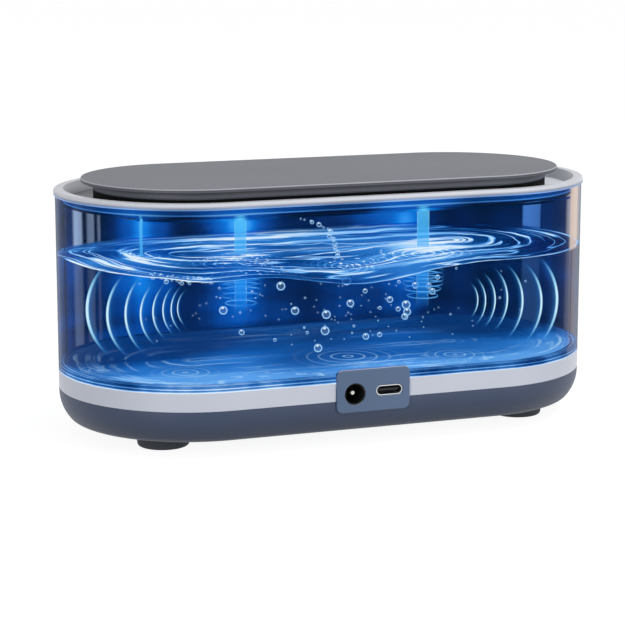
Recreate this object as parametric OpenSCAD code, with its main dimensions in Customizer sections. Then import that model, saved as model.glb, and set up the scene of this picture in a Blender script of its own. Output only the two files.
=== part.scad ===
// Ultrasonic jewellery cleaner with a clear tank, a lift-off lid and a grey base.
// Millimetres, +Z up. The origin is on the table, under the middle of the base. The power sockets
// face -Y and the power button faces +Y. Every outline in plan is a stadium: two half circles
// joined by straight sides.

/* [Body] */
// Overall length, over the top rim
body_l = 180; // [160:1:230]
// Overall width, over the top rim
body_w = 88; // [84:1:104]
// Overall height, from the table to the top of the lid
body_h = 83; // [72:1:110]
// How far the rim stands out past the tank wall, on each side
rim_lip = 0.5; // [0.2:0.1:1.5]

/* [Base] */
// Height of the rubber feet under the base
foot_h = 4.3; // [3:0.1:7]
// Radius of a foot where it meets the table
foot_r = 8.3; // [7:0.1:10]
// Distance of a foot's centre from the end of the body
foot_from_end = 28; // [26:0.5:34]
// Distance of a foot's centre from the side of the body
foot_from_side = 24.5; // [23:0.5:26]
// Height of the grey base tray
base_h = 10.8; // [10.4:0.1:14]
// Wall and floor thickness of the base tray
shell_t = 2.2; // [1.6:0.1:2.6]
// How far the base's lower edge is drawn in
curve_in = 6; // [5:0.5:9]
// Height of the base's curved lower edge
curve_h = 9.7; // [8:0.1:10]
// Radius of the tighter arc at the bottom of that edge
curve_low_r = 4; // [3:0.1:4.6]
// Height of the light band above the base
band_h = 5.7; // [5.2:0.1:8]

/* [Tank] */
// Thickness of the clear tank wall
wall_t = 2.5; // [2.2:0.1:3.5]
// Width of the clear shelf that carries the tank floor
shelf_w = 8; // [6:0.5:10]
// Thickness of that shelf
shelf_t = 2; // [1.8:0.1:3]
// Thickness of the silicone gasket on the shelf
gasket_t = 0.6; // [0.4:0.1:1.2]
// Thickness of the pressed steel floor
floor_t = 0.8; // [0.5:0.1:1.2]
// How deep the middle of the floor is pressed down
pan_drop = 1; // [0.4:0.1:1.6]

/* [Top rim] */
// Thickness of the rim above the wall
rim_t = 2; // [1.8:0.1:3]
// Width of the rim's flat top
rim_face_w = 3.2; // [2.8:0.1:4]
// Depth of the lid ledge below the rim's top
ledge_drop = 3.5; // [3:0.1:5]
// Thickness of the ledge
ledge_t = 1.5; // [1.2:0.1:2.5]
// Distance from the rim's outline to the edge of the mouth
mouth_inset = 14; // [12.5:0.5:15]

/* [Lid] */
// Height of the lid's top above the rim's top
lid_rise = 3.4; // [2.8:0.1:5]
// Thickness of the lid's top plate
lid_plate_t = 1.3; // [1:0.1:2]
// How far the lid's plate lies inside the rim's outline
lid_inset = 8.7; // [7:0.1:10]
// How far the lid's collar reaches past the edge of the mouth
collar_land = 1.5; // [1:0.1:2.2]
// Height of the collar under the plate
collar_h = 2.2; // [1.6:0.1:2.6]
// Wall of the lid's mouldings
lid_wall = 1.6; // [1.2:0.1:2]
// How far the plug reaches below the ledge's top
plug_depth = 2.6; // [2:0.1:6]
// Gap between the plug and the mouth
plug_gap = 0.6; // [0.4:0.1:1]

/* [Sockets] */
// Width of the socket panel
panel_w = 24.8; // [24:0.1:28]
// Height of the socket panel
panel_h = 13.8; // [13:0.1:15]
// Corner radius of the panel
panel_r = 2; // [1:0.1:3]
// How far the panel stands out past the tank wall
panel_proud = 0.8; // [0.6:0.1:1.4]
// How deep the panel is let into the wall
panel_sink = 0.5; // [0.4:0.1:0.8]
// Height of the panel's centre above the top of the base tray
panel_rise = 3.05; // [2.8:0.05:3.2]
// Distance of the round socket from the panel's centre
jack_x = 6.3; // [6:0.1:6.6]
// Height of the round socket's axis above the top of the base tray
jack_rise = 2.1; // [1.9:0.1:2.1]
// Diameter of the round socket's hole in the panel
jack_hole_d = 7.1; // [7:0.1:7.4]
// Distance of the flat socket from the panel's centre
usb_x = 5.4; // [5.2:0.1:5.8]
// Height of the flat socket's axis above the top of the base tray
usb_rise = 2.6; // [2.4:0.1:2.8]

/* [Button] */
// Length of the power button
key_l = 15; // [12:0.5:20]
// Height of the power button
key_h = 5.6; // [5:0.1:6]
// Travel of the power button
key_travel = 0.8; // [0.5:0.1:1]

/* [Electronics] */
// How far the coupling disc under the tank floor stands out past the piezo disc
disc_margin = 3; // [2.5:0.1:3.5]
// Thickness of the coupling disc
disc_t = 3; // [2:0.1:3.2]
// Radius of the piezo disc
piezo_r = 16; // [12:0.5:16.5]
// Thickness of the piezo disc
piezo_t = 2.6; // [2:0.1:3]
// Length of the main board
board_l = 88; // [80:1:92]
// Thickness of the main board
board_t = 1.6; // [1:0.1:1.6]
// Number of light emitters round the tank
led_count = 22; // [10:2:30]

/* [Hidden] */
$fn = 72;
LEFT = -1;
RIGHT = 1;
FRONT = -1;
REAR = 1;
// Overlap of joined solids, and how far a cutter runs past a face
eps = 0.1;
past = 1;

// Clearances
fit_gap = 0.1;
thread_gap = 0.02;
run_gap = 0.05;

// Outlines in plan, as the radius of the stadium's ends
r_rim = body_w / 2;
half_str = (body_l - body_w) / 2;
r_wall = r_rim - rim_lip;
r_tank = r_wall - wall_t;
r_mouth = r_rim - mouth_inset;

// Heights
z_floor = foot_h + shell_t;
z_band = foot_h + base_h;
z_wall = z_band + band_h;
z_rim = body_h - lid_rise;
z_rim_low = z_rim - rim_t;
z_ledge = z_rim - ledge_drop;

// Deck inside the band, which carries the lights and takes the screws
deck_t = 1.6;
deck_drop = 3;
z_deck = z_wall - deck_drop;
z_deck_low = z_deck - deck_t;
deck_clear = 4;
deck_open_r = piezo_r + deck_clear;
frame_boss_h = 4.2;
z_boss = z_deck_low - frame_boss_h;

// Channel in the band that the skirt of the clear wall stands in
channel_wall = 1.4;
channel_gap = 0.2;
r_channel = r_wall - channel_wall;
skirt_t = 1;
skirt_h = 2.8;
riser_t = 1.2;

// Floor of the tank
shelf_sink = 1;
z_shelf_low = z_wall - shelf_sink;
z_shelf = z_shelf_low + shelf_t;
z_flange = z_shelf + gasket_t;
floor_gap = 0.2;
r_floor = r_tank - floor_gap;
r_shelf = r_tank - shelf_w;
gasket_in = 1;
pan_gap = 0.8;
pan_slope = 1.6;
pan_skew = 0.3;
r_pan = r_shelf - pan_gap;
z_pan = z_flange - pan_drop;

// Tongue on the wall's top edge and its groove in the rim
tongue_in = 0.8;
tongue_h = 0.9;
groove_h = 1;

// Lid
r_plate = r_rim - lid_inset;
r_collar = r_mouth + collar_land;
z_plate = body_h - lid_plate_t;
z_collar = z_plate - collar_h;
r_plug = r_mouth - plug_gap;
z_plug = z_ledge - plug_depth - ledge_t;

// Round power socket
z_jack = z_band + jack_rise;
jack_gap = 0.05;
jack_r = jack_hole_d / 2 - jack_gap;
jack_bore_r = 3.15;
jack_set_back = 0.4;
jack_bore_deep = 9.5;
jack_l = 13.5;
jack_body_w = 9;
jack_shoulder = 1.5;
jack_crown = 2.4;
jack_step = 1;
jack_nose_l = 3.6;
jack_axis_h = 6.5;
jack_pin_r = 1;
pin_root_r = 0.75;
pin_root = 2;
pin_set_back = 2.2;
pin_point = 0.4;

// Socket panel and the window behind it
y_panel = -(r_wall + panel_proud);
y_panel_back = -(r_wall - panel_sink);
z_panel = z_band + panel_rise;
panel_edge = 0.35;
panel_boss_gap = 0.2;
panel_boss_deep = 2.5;
window_gap = 0.2;
window_w = 2 * (jack_x + jack_body_w / 2 + window_gap);
window_below = 4;
window_low = z_jack - window_below;
window_top = z_wall + window_gap;
window_spare = 3;
window_deep = jack_l + window_spare;
y_jack = y_panel + jack_set_back;

// Flat power socket
z_usb = z_band + usb_rise;
usb_shell_w = 8.94;
usb_shell_h = 3.26;
usb_shell_t = 0.3;
usb_shell_l = 7.3;
usb_set_back = 0.3;
y_usb = y_panel + usb_set_back;
usb_hole_gap = 0.2;
usb_block_gap = 0.02;
usb_tongue_w = 6.7;
usb_tongue_t = 0.7;
usb_tongue_back = 0.9;
usb_block_l = 1.8;
usb_board_t = 1;
usb_board_w = 10;
usb_board_l = 12;
y_usb_board = y_panel_back + panel_boss_deep + fit_gap;
z_usb_board = z_usb - usb_shell_h / 2 - usb_board_t;

// Power button and its switch
key_gap = 0.2;
key_rest_gap = 0.1;
key_edge = 0.6;
y_key = r_wall + panel_proud;
pad_deep = 4.9;
pad_margin = 2.5;
pad_skin = 0.4;
y_pad = r_wall - pad_deep;
key_flange = 1.2;
key_flange_z = 0.7;
key_flange_t = 1;
y_key_back = y_pad - key_rest_gap - key_flange_t;
switch_w = 6;
switch_h = 3.5;
switch_l = 6;
switch_lead = 1.8;
y_switch = y_key_back - switch_lead;
plunger_r = 1.2;
plunger_in = 2;
plunger_spare = 0.4;

// Main board
z_board_top = z_jack - jack_axis_h;
z_board = z_board_top - board_t;
board_hole_in = 4;
board_boss_r = 3;
board_screw_r = 1.2;
board_screw_spare = 0.3;
board_key_gap = 3.5;
board_rear = y_key_back - board_key_gap;
board_wall_gap = 17.5;
board_front = board_wall_gap - r_wall;
tongue_margin = 1.5;
tongue_w = window_w + 2 * tongue_margin;
tongue_back = 0.4;
y_tongue = y_usb_board + tongue_back;
key_rise = 0.1;
z_key = z_board_top + key_rise;
z_plunger = z_board_top + switch_h / 2;

// Screws and feet
screw_r = 1.48;
pilot_r = screw_r + thread_gap;
screw_gap = 0.2;
screw_head_r = 2.7;
screw_head_h = 1.8;
screw_bite = 3.4;
pilot_spare = 0.4;
recess_r = 7.1;
recess_h = 1.1;
z_screw_seat = foot_h + recess_h + screw_head_h + screw_gap;
base_boss_r = 4.5;
frame_boss_r = 3.6;
foot_edge = 1;
foot_flare = 0.5;
foot_dimple = 0.6;

// Transducer
disc_r = piezo_r + disc_margin;
disc_edge = 0.5;
electrode_in = 2;
electrode_t = 0.3;
z_disc = z_pan - disc_t;
z_piezo = z_disc - piezo_t;
z_electrode = z_piezo - electrode_t;
tab_w = 3;
tab_l = 3;

// Lights
led_in = 6.2;
r_led = r_tank - led_in;
led_strip_w = 7.2;
led_strip_t = 0.4;
z_strip = z_deck + led_strip_t;
led_l = 3.5;
led_w = 2.8;
led_h = 1.2;
led_skip = 17;
led_end = 4;

// Leads between the board, the transducer and the lights
lead_r = 0.6;
lead_bend = 1.6;
lead_pitch = 2.5;
solder_r = 0.9;
solder_h = 0.6;
lead_plug_l = 6;
lead_plug_w = 4.6;
lead_plug_step = 0.5;
lead_plug_h = 2;
z_lead = z_board_top + lead_plug_h;
light_plug_x = -24;
light_plug_in = 3;
light_plug_y = deck_open_r - light_plug_in;
sound_plug_out = 5;
sound_plug_x = disc_r + sound_plug_out;

foot_x = body_l / 2 - foot_from_end;
foot_y = body_w / 2 - foot_from_side;
board_hole_x = board_l / 2 - board_hole_in;

// Quarter disc that rounds a corner, on the side that sx and sy give
module quarter(x, y, r, sx, sy) {
    translate([x, y]) intersection() {
        circle(r);
        translate([sx * r / 2, sy * r / 2]) square(r, center = true);
    }
}

// Section from radius r0 to r1 and height z0 to z1, with its outer corners rounded
module bar_section(r0, r1, z0, z1, low_r, top_r) {
    translate([r0, z0 + low_r]) square([r1 - r0, z1 - z0 - low_r - top_r]);
    if (low_r > 0) {
        translate([r0, z0]) square([r1 - low_r - r0, low_r]);
        quarter(r1 - low_r, z0 + low_r, low_r, 1, -1);
    }
    if (top_r > 0) {
        translate([r0, z1 - top_r]) square([r1 - top_r - r0, top_r]);
        quarter(r1 - top_r, z1 - top_r, top_r, 1, 1);
    }
}

// Stadium outline in plan
module stadium(r) {
    square([2 * half_str, 2 * r], center = true);
    for (e = [LEFT, RIGHT])
        translate([e * half_str, 0]) intersection() {
            circle(r);
            translate([e * r, 0]) square([2 * r, 2 * (r + past)], center = true);
        }
}

module stadium_ring(r_out, r_in, z0, z1) {
    translate([0, 0, z0]) linear_extrude(z1 - z0) difference() {
        stadium(r_out);
        stadium(r_in);
    }
}

// Carries a half section, with x as the distance from the centre line, round the stadium
module sweep() {
    for (e = [LEFT, RIGHT])
        translate([e * half_str, 0, 0]) rotate(-90 * e) rotate_extrude(angle = 180) children();
    for (m = [0, 1])
        mirror([0, m, 0]) rotate([90, 0, 90]) linear_extrude(2 * half_str, center = true) children();
}

// Rounded rectangle that stands in the XZ plane and runs from y0 to y1
module upright_plate(w, h, r, y0, y1) {
    translate([0, y1, 0]) rotate([90, 0, 0]) linear_extrude(y1 - y0) {
        square([w - 2 * r, h], center = true);
        for (sx = [LEFT, RIGHT]) {
            translate([sx * (w / 2 - r / 2), 0]) square([r, h - 2 * r], center = true);
            for (sy = [-1, 1]) quarter(sx * (w / 2 - r), sy * (h / 2 - r), r, sx, sy);
        }
    }
}

// Slot shape with round ends that stands in the XZ plane and runs from y0 to y1
module oblong(w, h, y0, y1) {
    translate([0, y1, 0]) rotate([90, 0, 0]) linear_extrude(y1 - y0) {
        square([w - h, h], center = true);
        for (s = [LEFT, RIGHT]) translate([s * (w - h) / 2, 0]) intersection() {
            circle(h / 2);
            translate([s * h / 2, 0]) square([h, h + past], center = true);
        }
    }
}

// Plate of thickness t with corner radius r, lying flat, with its upper edge rounded
module soft_plate(w, h, r, t, edge) {
    dx = w / 2 - r;
    dy = h / 2 - r;
    for (q = [0 : 3]) {
        c = [[dx, dy], [-dx, dy], [-dx, -dy], [dx, -dy]][q];
        translate([c[0], c[1], 0]) rotate(90 * q) rotate_extrude(angle = 90) bar_section(0, r, 0, t, 0, edge);
    }
    for (m = [0, 1]) mirror([0, m, 0]) translate([0, dy, 0]) rotate([90, 0, 90])
        linear_extrude(2 * dx, center = true) bar_section(0, r, 0, t, 0, edge);
    if (dy > 0) {
        for (m = [0, 1]) mirror([m, 0, 0]) translate([dx, 0, 0]) rotate([90, 0, 0])
            linear_extrude(2 * dy, center = true) bar_section(0, r, 0, t, 0, edge);
        translate([-dx, -dy, 0]) cube([2 * dx, 2 * dy, t]);
    }
}

module rod_y(r, y0, y1) {
    translate([0, y1, 0]) rotate([90, 0, 0]) cylinder(r = r, h = y1 - y0);
}

module box(x0, x1, y0, y1, z0, z1) {
    translate([x0, y0, z0]) cube([x1 - x0, y1 - y0, z1 - z0]);
}

module at_feet() {
    for (sx = [LEFT, RIGHT], sy = [FRONT, REAR])
        translate([sx * foot_x, sy * foot_y, 0]) children();
}

module at_board_holes() {
    for (sx = [LEFT, RIGHT], y = [board_front + board_hole_in, board_rear - board_hole_in])
        translate([sx * board_hole_x, y, 0]) children();
}

// The two arcs of the base's lower edge. The big one has its centre level with the curve's top.
curve_big_r = (pow(curve_in, 2) + pow(curve_h - curve_low_r, 2) - pow(curve_low_r, 2))
    / (2 * (curve_in - curve_low_r));
z_curve = foot_h + curve_h;
x_big = r_wall - curve_big_r;
x_low = r_wall - curve_in;
z_low = foot_h + curve_low_r;
turn_drop = (z_curve - z_low) / (curve_big_r - curve_low_r);

// Half section of the base tray, drawn in by t and cut off at top
module tray_section(t, top) {
    z_turn = z_low - (curve_low_r - t) * turn_drop;
    translate([0, z_curve]) square([r_wall - t, top - z_curve]);
    translate([0, z_turn]) square([x_big, z_curve - z_turn]);
    intersection() {
        translate([x_big, z_curve]) circle(curve_big_r - t);
        translate([x_big, z_turn]) square([curve_big_r, z_curve - z_turn]);
    }
    translate([0, foot_h + t]) square([x_low, z_low - foot_h - t]);
    intersection() {
        translate([x_low, z_low]) circle(curve_low_r - t);
        translate([x_low, z_turn]) mirror([0, 1]) square([curve_low_r, curve_low_r]);
    }
}

// Space behind the socket panel that the sockets need
module port_window() {
    box(-window_w / 2, window_w / 2, y_panel - past, y_panel_back + window_deep, window_low, window_top);
    translate([0, 0, z_panel])
        upright_plate(panel_w + 2 * fit_gap, panel_h + 2 * fit_gap, panel_r + fit_gap,
            y_panel - past, y_panel_back);
}

module base_housing() color("#4c5363") {
    rib_t = 1.2;
    rib_h = 2;
    rib_step = 30;
    lip_in = 0.6;
    lip_root = 1.6;
    difference() {
        union() {
            difference() {
                sweep() tray_section(0, z_band);
                sweep() tray_section(shell_t, z_band + past);
            }
            stadium_ring(r_channel - fit_gap, r_wall - shell_t - lip_in,
                z_band - lip_root, z_deck_low - fit_gap);
            at_feet() translate([0, 0, foot_h]) cylinder(r = base_boss_r, h = z_boss - foot_h);
            at_board_holes() translate([0, 0, foot_h + shell_t / 2])
                cylinder(r = board_boss_r, h = z_board - foot_h - shell_t / 2);
            translate([0, 0, z_floor - eps]) linear_extrude(rib_h + eps) {
                for (s = [FRONT, REAR]) translate([0, s * foot_y]) square([2 * foot_x, rib_t], center = true);
                for (x = [-rib_step, 0, rib_step]) translate([x, 0]) square([rib_t, 2 * foot_y], center = true);
            }
            intersection() {
                box(-key_l / 2 - pad_margin, key_l / 2 + pad_margin, y_pad, r_wall + past,
                    foot_h + shell_t / 2, z_band);
                sweep() tray_section(pad_skin, z_band);
            }
        }
        port_window();
        at_feet() {
            translate([0, 0, foot_h - past]) cylinder(r = recess_r, h = recess_h + past);
            translate([0, 0, foot_h]) cylinder(r = screw_head_r + screw_gap, h = z_screw_seat - foot_h);
            translate([0, 0, foot_h]) cylinder(r = screw_r + screw_gap, h = z_boss);
        }
        at_board_holes() translate([0, 0, z_floor + board_screw_spare])
            cylinder(r = board_screw_r + thread_gap, h = z_board);
        translate([0, 0, z_key])
            oblong(key_l + 2 * key_gap, key_h + 2 * key_gap, y_pad - past, y_key + past);
    }
}

module foot() color("#22242a") {
    difference() {
        union() {
            rotate_extrude() {
                square([foot_r - foot_edge, foot_edge]);
                quarter(foot_r - foot_edge, foot_edge, foot_edge, 1, -1);
                polygon([[0, foot_edge], [foot_r, foot_edge], [foot_r + foot_flare, foot_h], [0, foot_h]]);
            }
            translate([0, 0, foot_h]) cylinder(r = recess_r - fit_gap, h = recess_h);
        }
        translate([0, 0, -past]) cylinder(r = foot_r / 2, h = foot_dimple + past);
    }
}

module foot_at(sx, sy) {
    translate([sx * foot_x, sy * foot_y, 0]) foot();
}

// Pan-head screw, point up, with its head's seat at height 0
module screw(r, head_r, head_h, l) {
    difference() {
        translate([0, 0, -head_h]) cylinder(r = head_r, h = head_h);
        for (a = [0, 90]) rotate(a) translate([0, 0, -head_h])
            cube([head_r * 1.3, head_r * 0.28, head_h], center = true);
    }
    cylinder(r = r, h = l - r);
    translate([0, 0, l - r]) cylinder(r1 = r, r2 = r / 3, h = r);
}

module base_screws() color("silver") {
    at_feet() translate([0, 0, z_screw_seat])
        screw(screw_r, screw_head_r, screw_head_h, z_boss + screw_bite - z_screw_seat);
}

module mid_frame() color("#c8cad4") {
    r_riser = r_tank - channel_gap - fit_gap;
    difference() {
        union() {
            sweep() polygon([
                [deck_open_r, z_deck_low], [r_channel, z_deck_low], [r_channel, z_band],
                [r_wall, z_band], [r_wall, z_wall], [r_channel, z_wall], [r_channel, z_deck],
                [r_riser, z_deck], [r_riser, z_shelf_low], [r_riser - riser_t, z_shelf_low],
                [r_riser - riser_t, z_deck], [deck_open_r, z_deck]
            ]);
            at_feet() translate([0, 0, z_boss]) cylinder(r = frame_boss_r, h = frame_boss_h + eps);
        }
        port_window();
        at_feet() translate([0, 0, z_boss - past]) cylinder(r = pilot_r, h = screw_bite + pilot_spare + past);
    }
}

module led_strip() color("#e8e8e0") {
    difference() {
        stadium_ring(r_led + led_strip_w / 2, r_led - led_strip_w / 2, z_deck, z_strip);
        box(led_end - led_skip, led_skip - led_end, -r_wall, 0, z_deck - past, z_strip + past);
    }
}

// Point and heading at distance s along the stadium, from the middle of the front side
function on_stadium(s, r) =
    let (arc = PI * r, side = 2 * half_str, a = s - half_str, b = a - arc, c = b - side, d = c - arc)
    a < 0 ? [s, -r, 0]
    : b < 0 ? [half_str + r * sin(a / r * 180 / PI), -r * cos(a / r * 180 / PI), a / r * 180 / PI]
    : c < 0 ? [half_str - b, r, 180]
    : d < 0 ? [-half_str - r * sin(c / r * 180 / PI), r * cos(c / r * 180 / PI), 180 + c / r * 180 / PI]
    : [-half_str + d, -r, 360];

module leds() color("#dff2ff") {
    path_l = 4 * half_str + 2 * PI * r_led;
    step = (path_l - 2 * led_skip) / (led_count - 1);
    for (i = [0 : led_count - 1]) {
        p = on_stadium(led_skip + i * step, r_led);
        translate([p[0], p[1], z_strip]) rotate(p[2])
            translate([-led_l / 2, -led_w / 2, 0]) cube([led_l, led_w, led_h]);
    }
}

module tank_wall() color("#bcd8f0", 0.35) {
    r_skirt = r_channel - channel_gap;
    difference() {
        sweep() polygon([
            [r_shelf, z_shelf_low], [r_skirt - skirt_t, z_shelf_low], [r_skirt - skirt_t, z_wall - skirt_h],
            [r_skirt, z_wall - skirt_h], [r_skirt, z_wall], [r_wall, z_wall], [r_wall, z_rim_low],
            [r_wall - tongue_in, z_rim_low], [r_wall - tongue_in, z_rim_low + tongue_h],
            [r_tank + tongue_in, z_rim_low + tongue_h], [r_tank + tongue_in, z_rim_low],
            [r_tank, z_rim_low], [r_tank, z_shelf], [r_shelf, z_shelf]
        ]);
        port_window();
    }
}

module floor_gasket() color("#202328") {
    stadium_ring(r_floor, r_shelf + gasket_in, z_shelf, z_flange);
}

module tank_floor() color("#b9c0c6") {
    sweep() polygon([
        [0, z_pan], [r_pan - pan_slope, z_pan], [r_pan, z_flange], [r_floor, z_flange],
        [r_floor, z_flange + floor_t], [r_pan - pan_skew, z_flange + floor_t],
        [r_pan - pan_slope - pan_skew, z_pan + floor_t], [0, z_pan + floor_t]
    ]);
}

module transducer_disc() color("#c3c6c9") {
    translate([0, 0, z_disc]) {
        cylinder(r1 = disc_r - disc_edge, r2 = disc_r, h = disc_edge);
        translate([0, 0, disc_edge]) cylinder(r = disc_r, h = disc_t - disc_edge);
    }
}

module piezo_disc() color("#d8cfb6") {
    translate([0, 0, z_piezo]) cylinder(r = piezo_r, h = piezo_t);
}

// Silver layer under the piezo disc, with the tab that its lead is soldered to
module piezo_electrode() color("#d7d9db") {
    r = piezo_r - electrode_in;
    translate([0, 0, z_electrode]) {
        cylinder(r = r, h = electrode_t);
        translate([r - past, -lead_pitch / 2 - tab_w / 2, 0])
            cube([electrode_in + tab_l + past, tab_w, electrode_t]);
    }
}

module main_board() color("#1f5a3c") {
    difference() {
        union() {
            box(-board_l / 2, board_l / 2, board_front, board_rear, z_board, z_board_top);
            box(-tongue_w / 2, tongue_w / 2, y_tongue, board_front + eps, z_board, z_board_top);
        }
        at_board_holes() translate([0, 0, z_board - past])
            cylinder(r = board_screw_r + screw_gap, h = board_t + 2 * past);
    }
}

module board_screws() color("silver") {
    head_r = 2.2;
    head_h = 1.4;
    at_board_holes() translate([0, 0, z_board_top]) mirror([0, 0, 1])
        screw(board_screw_r, head_r, head_h, z_board_top - z_floor - 2 * board_screw_spare);
}

module driver_chip() color("#1c1d20") {
    chip_l = 9.9;
    chip_w = 3.9;
    chip_h = 1.5;
    chip_lift = 0.2;
    lead_n = 8;
    lead_step = 1.27;
    lead_w = 0.42;
    lead_reach = 1.1;
    lead_h = 0.5;
    chip_from_end = 18;
    chip_y = 8;
    translate([chip_from_end - board_l / 2, chip_y, z_board_top]) {
        translate([-chip_l / 2, -chip_w / 2, chip_lift]) cube([chip_l, chip_w, chip_h]);
        for (i = [0 : lead_n - 1]) translate([(i - (lead_n - 1) / 2) * lead_step, 0, lead_h / 2])
            cube([lead_w, chip_w + 2 * lead_reach, lead_h], center = true);
    }
}

coil_from_end = 13;
coil_y = -8;
flange_r = 5;
flange_t = 0.9;
core_r = 2.4;
coil_h = 3.2;

module at_coil() translate([board_l / 2 - coil_from_end, coil_y, z_board_top]) children();

module inductor_core() color("#3a3d42") at_coil() {
    cylinder(r = flange_r, h = flange_t);
    translate([0, 0, flange_t]) cylinder(r = core_r, h = coil_h);
    translate([0, 0, flange_t + coil_h]) cylinder(r = flange_r, h = flange_t);
}

// Wound wire between the core's flanges, one ridge for each turn
module inductor_coil() color("#b4653a") {
    turns = 6;
    wire = coil_h / turns;
    coil_t = 1.9;
    ridge = 0.25;
    at_coil() translate([0, 0, flange_t]) rotate_extrude() difference() {
        translate([core_r, 0]) square([coil_t, coil_h]);
        for (i = [0 : turns]) translate([core_r + coil_t + ridge, i * wire]) circle(r = wire / 2);
    }
}

// Electrolytic cans, with the groove that crimps each one above its base
module capacitors() color("#2b3b63") {
    can_r = 3.15;
    groove = 0.25;
    base_t = 1;
    groove_w = 0.5;
    can_h = 4.8;
    from_end = 13;
    other_from_end = 10;
    from_rear = 14;
    other_from_rear = 12;
    step = 10;
    for (p = [[board_l / 2 - from_end, board_rear - from_rear - step],
              [board_l / 2 - from_end, board_rear - from_rear],
              [other_from_end - board_l / 2, board_rear - other_from_rear]])
        translate([p[0], p[1], z_board_top]) rotate_extrude() {
            square([can_r, base_t]);
            translate([0, base_t]) square([can_r - groove, groove_w]);
            translate([0, base_t + groove_w]) square([can_r, can_h - base_t - groove_w]);
        }
}

module power_transistor() color("#1c1d20") {
    case_w = 6.6;
    case_l = 6;
    case_h = 2.3;
    tab_size = [5.4, 1.2, 0.5];
    leg_size = [0.7, 2.2, 0.5];
    leg_step = 2.3;
    from_end = 9;
    case_y = -8;
    translate([from_end - board_l / 2, case_y, z_board_top]) {
        translate([-case_w / 2, -case_l / 2, 0]) cube([case_w, case_l, case_h]);
        translate([-tab_size[0] / 2, case_l / 2, 0]) cube(tab_size);
        for (x = [-leg_step, 0, leg_step])
            translate([x - leg_size[0] / 2, -case_l / 2 - leg_size[1], 0]) cube(leg_size);
    }
}

module dc_jack_body() color("#17181b") {
    y_block = y_jack + jack_nose_l;
    y_end = y_jack + jack_l;
    y_bore = y_jack + jack_bore_deep;
    half_w = jack_body_w / 2;
    difference() {
        translate([-jack_x, 0, 0]) union() {
            translate([0, 0, z_jack]) rod_y(jack_r, y_jack, y_end);
            box(-half_w, half_w, y_block, y_end, z_board_top, z_jack + jack_shoulder);
            box(jack_step - half_w, half_w - jack_step, y_block, y_end,
                z_jack + jack_shoulder - jack_step, z_jack + jack_crown);
        }
        translate([-jack_x, 0, z_jack]) {
            rod_y(jack_bore_r, y_jack - past, y_bore);
            rod_y(pin_root_r, y_bore - past, y_bore + pin_root);
        }
    }
}

module dc_jack_pin() color("#cfd2d6") {
    y_tip = y_panel + pin_set_back;
    y_bore = y_jack + jack_bore_deep;
    translate([-jack_x, 0, z_jack]) {
        rod_y(pin_root_r, y_bore - eps, y_bore + pin_root);
        rod_y(jack_pin_r, y_tip + pin_point, y_bore);
        translate([0, y_tip + pin_point, 0]) rotate([90, 0, 0])
            cylinder(r1 = jack_pin_r, r2 = jack_pin_r - pin_point, h = pin_point);
    }
}

module usb_board() color("#1f5a3c") {
    box(usb_x - usb_board_w / 2, usb_x + usb_board_w / 2, y_usb_board, y_usb_board + usb_board_l,
        z_usb_board, z_usb_board + usb_board_t);
}

// Pin strip that lifts the small board off the main one
module usb_header() color("#202124") {
    pins = 6;
    pitch = 1.27;
    strip_w = 1.6;
    strip_in = 2.4;
    y_row = y_usb_board + usb_board_l - strip_in;
    box(usb_x - pins * pitch / 2, usb_x + pins * pitch / 2, y_row - strip_w / 2, y_row + strip_w / 2,
        z_board_top, z_usb_board);
}

module usb_shell() color("#b8bcc2") {
    y_end = y_usb + usb_shell_l;
    translate([usb_x, 0, z_usb]) difference() {
        oblong(usb_shell_w, usb_shell_h, y_usb, y_end);
        oblong(usb_shell_w - 2 * usb_shell_t, usb_shell_h - 2 * usb_shell_t, y_usb - past, y_end + past);
    }
}

module usb_tongue() color("#17181b") {
    y_end = y_usb + usb_shell_l;
    block_in = 2 * (usb_shell_t + usb_block_gap);
    translate([usb_x, 0, z_usb]) {
        oblong(usb_shell_w - block_in, usb_shell_h - block_in, y_end - usb_block_l, y_end);
        oblong(usb_tongue_w, usb_tongue_t, y_usb + usb_tongue_back, y_end - usb_block_l);
    }
}

module port_panel() color("#5b6880") {
    boss_w = window_w - 2 * panel_boss_gap;
    y_boss = y_panel_back + panel_boss_deep;
    difference() {
        union() {
            translate([0, y_panel_back, z_panel]) rotate([90, 0, 0])
                soft_plate(panel_w, panel_h, panel_r, y_panel_back - y_panel, panel_edge);
            box(-boss_w / 2, boss_w / 2, y_panel_back, y_boss,
                window_low + panel_boss_gap, window_top - panel_boss_gap);
        }
        translate([-jack_x, 0, z_jack]) rod_y(jack_hole_d / 2, y_panel - past, y_boss + past);
        translate([usb_x, 0, z_usb]) oblong(usb_shell_w + 2 * usb_hole_gap,
            usb_shell_h + 2 * usb_hole_gap, y_panel - past, y_boss + past);
    }
}

module power_button() color("#5b6880") {
    y_flange = y_pad - key_rest_gap;
    translate([0, 0, z_key]) {
        translate([0, y_flange, 0]) rotate([-90, 0, 0])
            soft_plate(key_l, key_h, key_h / 2, y_key - y_flange, key_edge);
        upright_plate(key_l + 2 * key_flange, key_h + 2 * key_flange_z, key_flange_t, y_key_back, y_flange);
    }
}

module switch_body() color("#2a2b2f") {
    difference() {
        box(-switch_w / 2, switch_w / 2, y_switch - switch_l, y_switch, z_board_top, z_board_top + switch_h);
        translate([0, 0, z_plunger])
            rod_y(plunger_r + run_gap, y_switch - plunger_in - key_travel - plunger_spare, y_switch + past);
    }
}

module switch_plunger() color("#e6e6e2") {
    translate([0, 0, z_plunger]) rod_y(plunger_r, y_switch - plunger_in, y_key_back);
}

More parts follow.
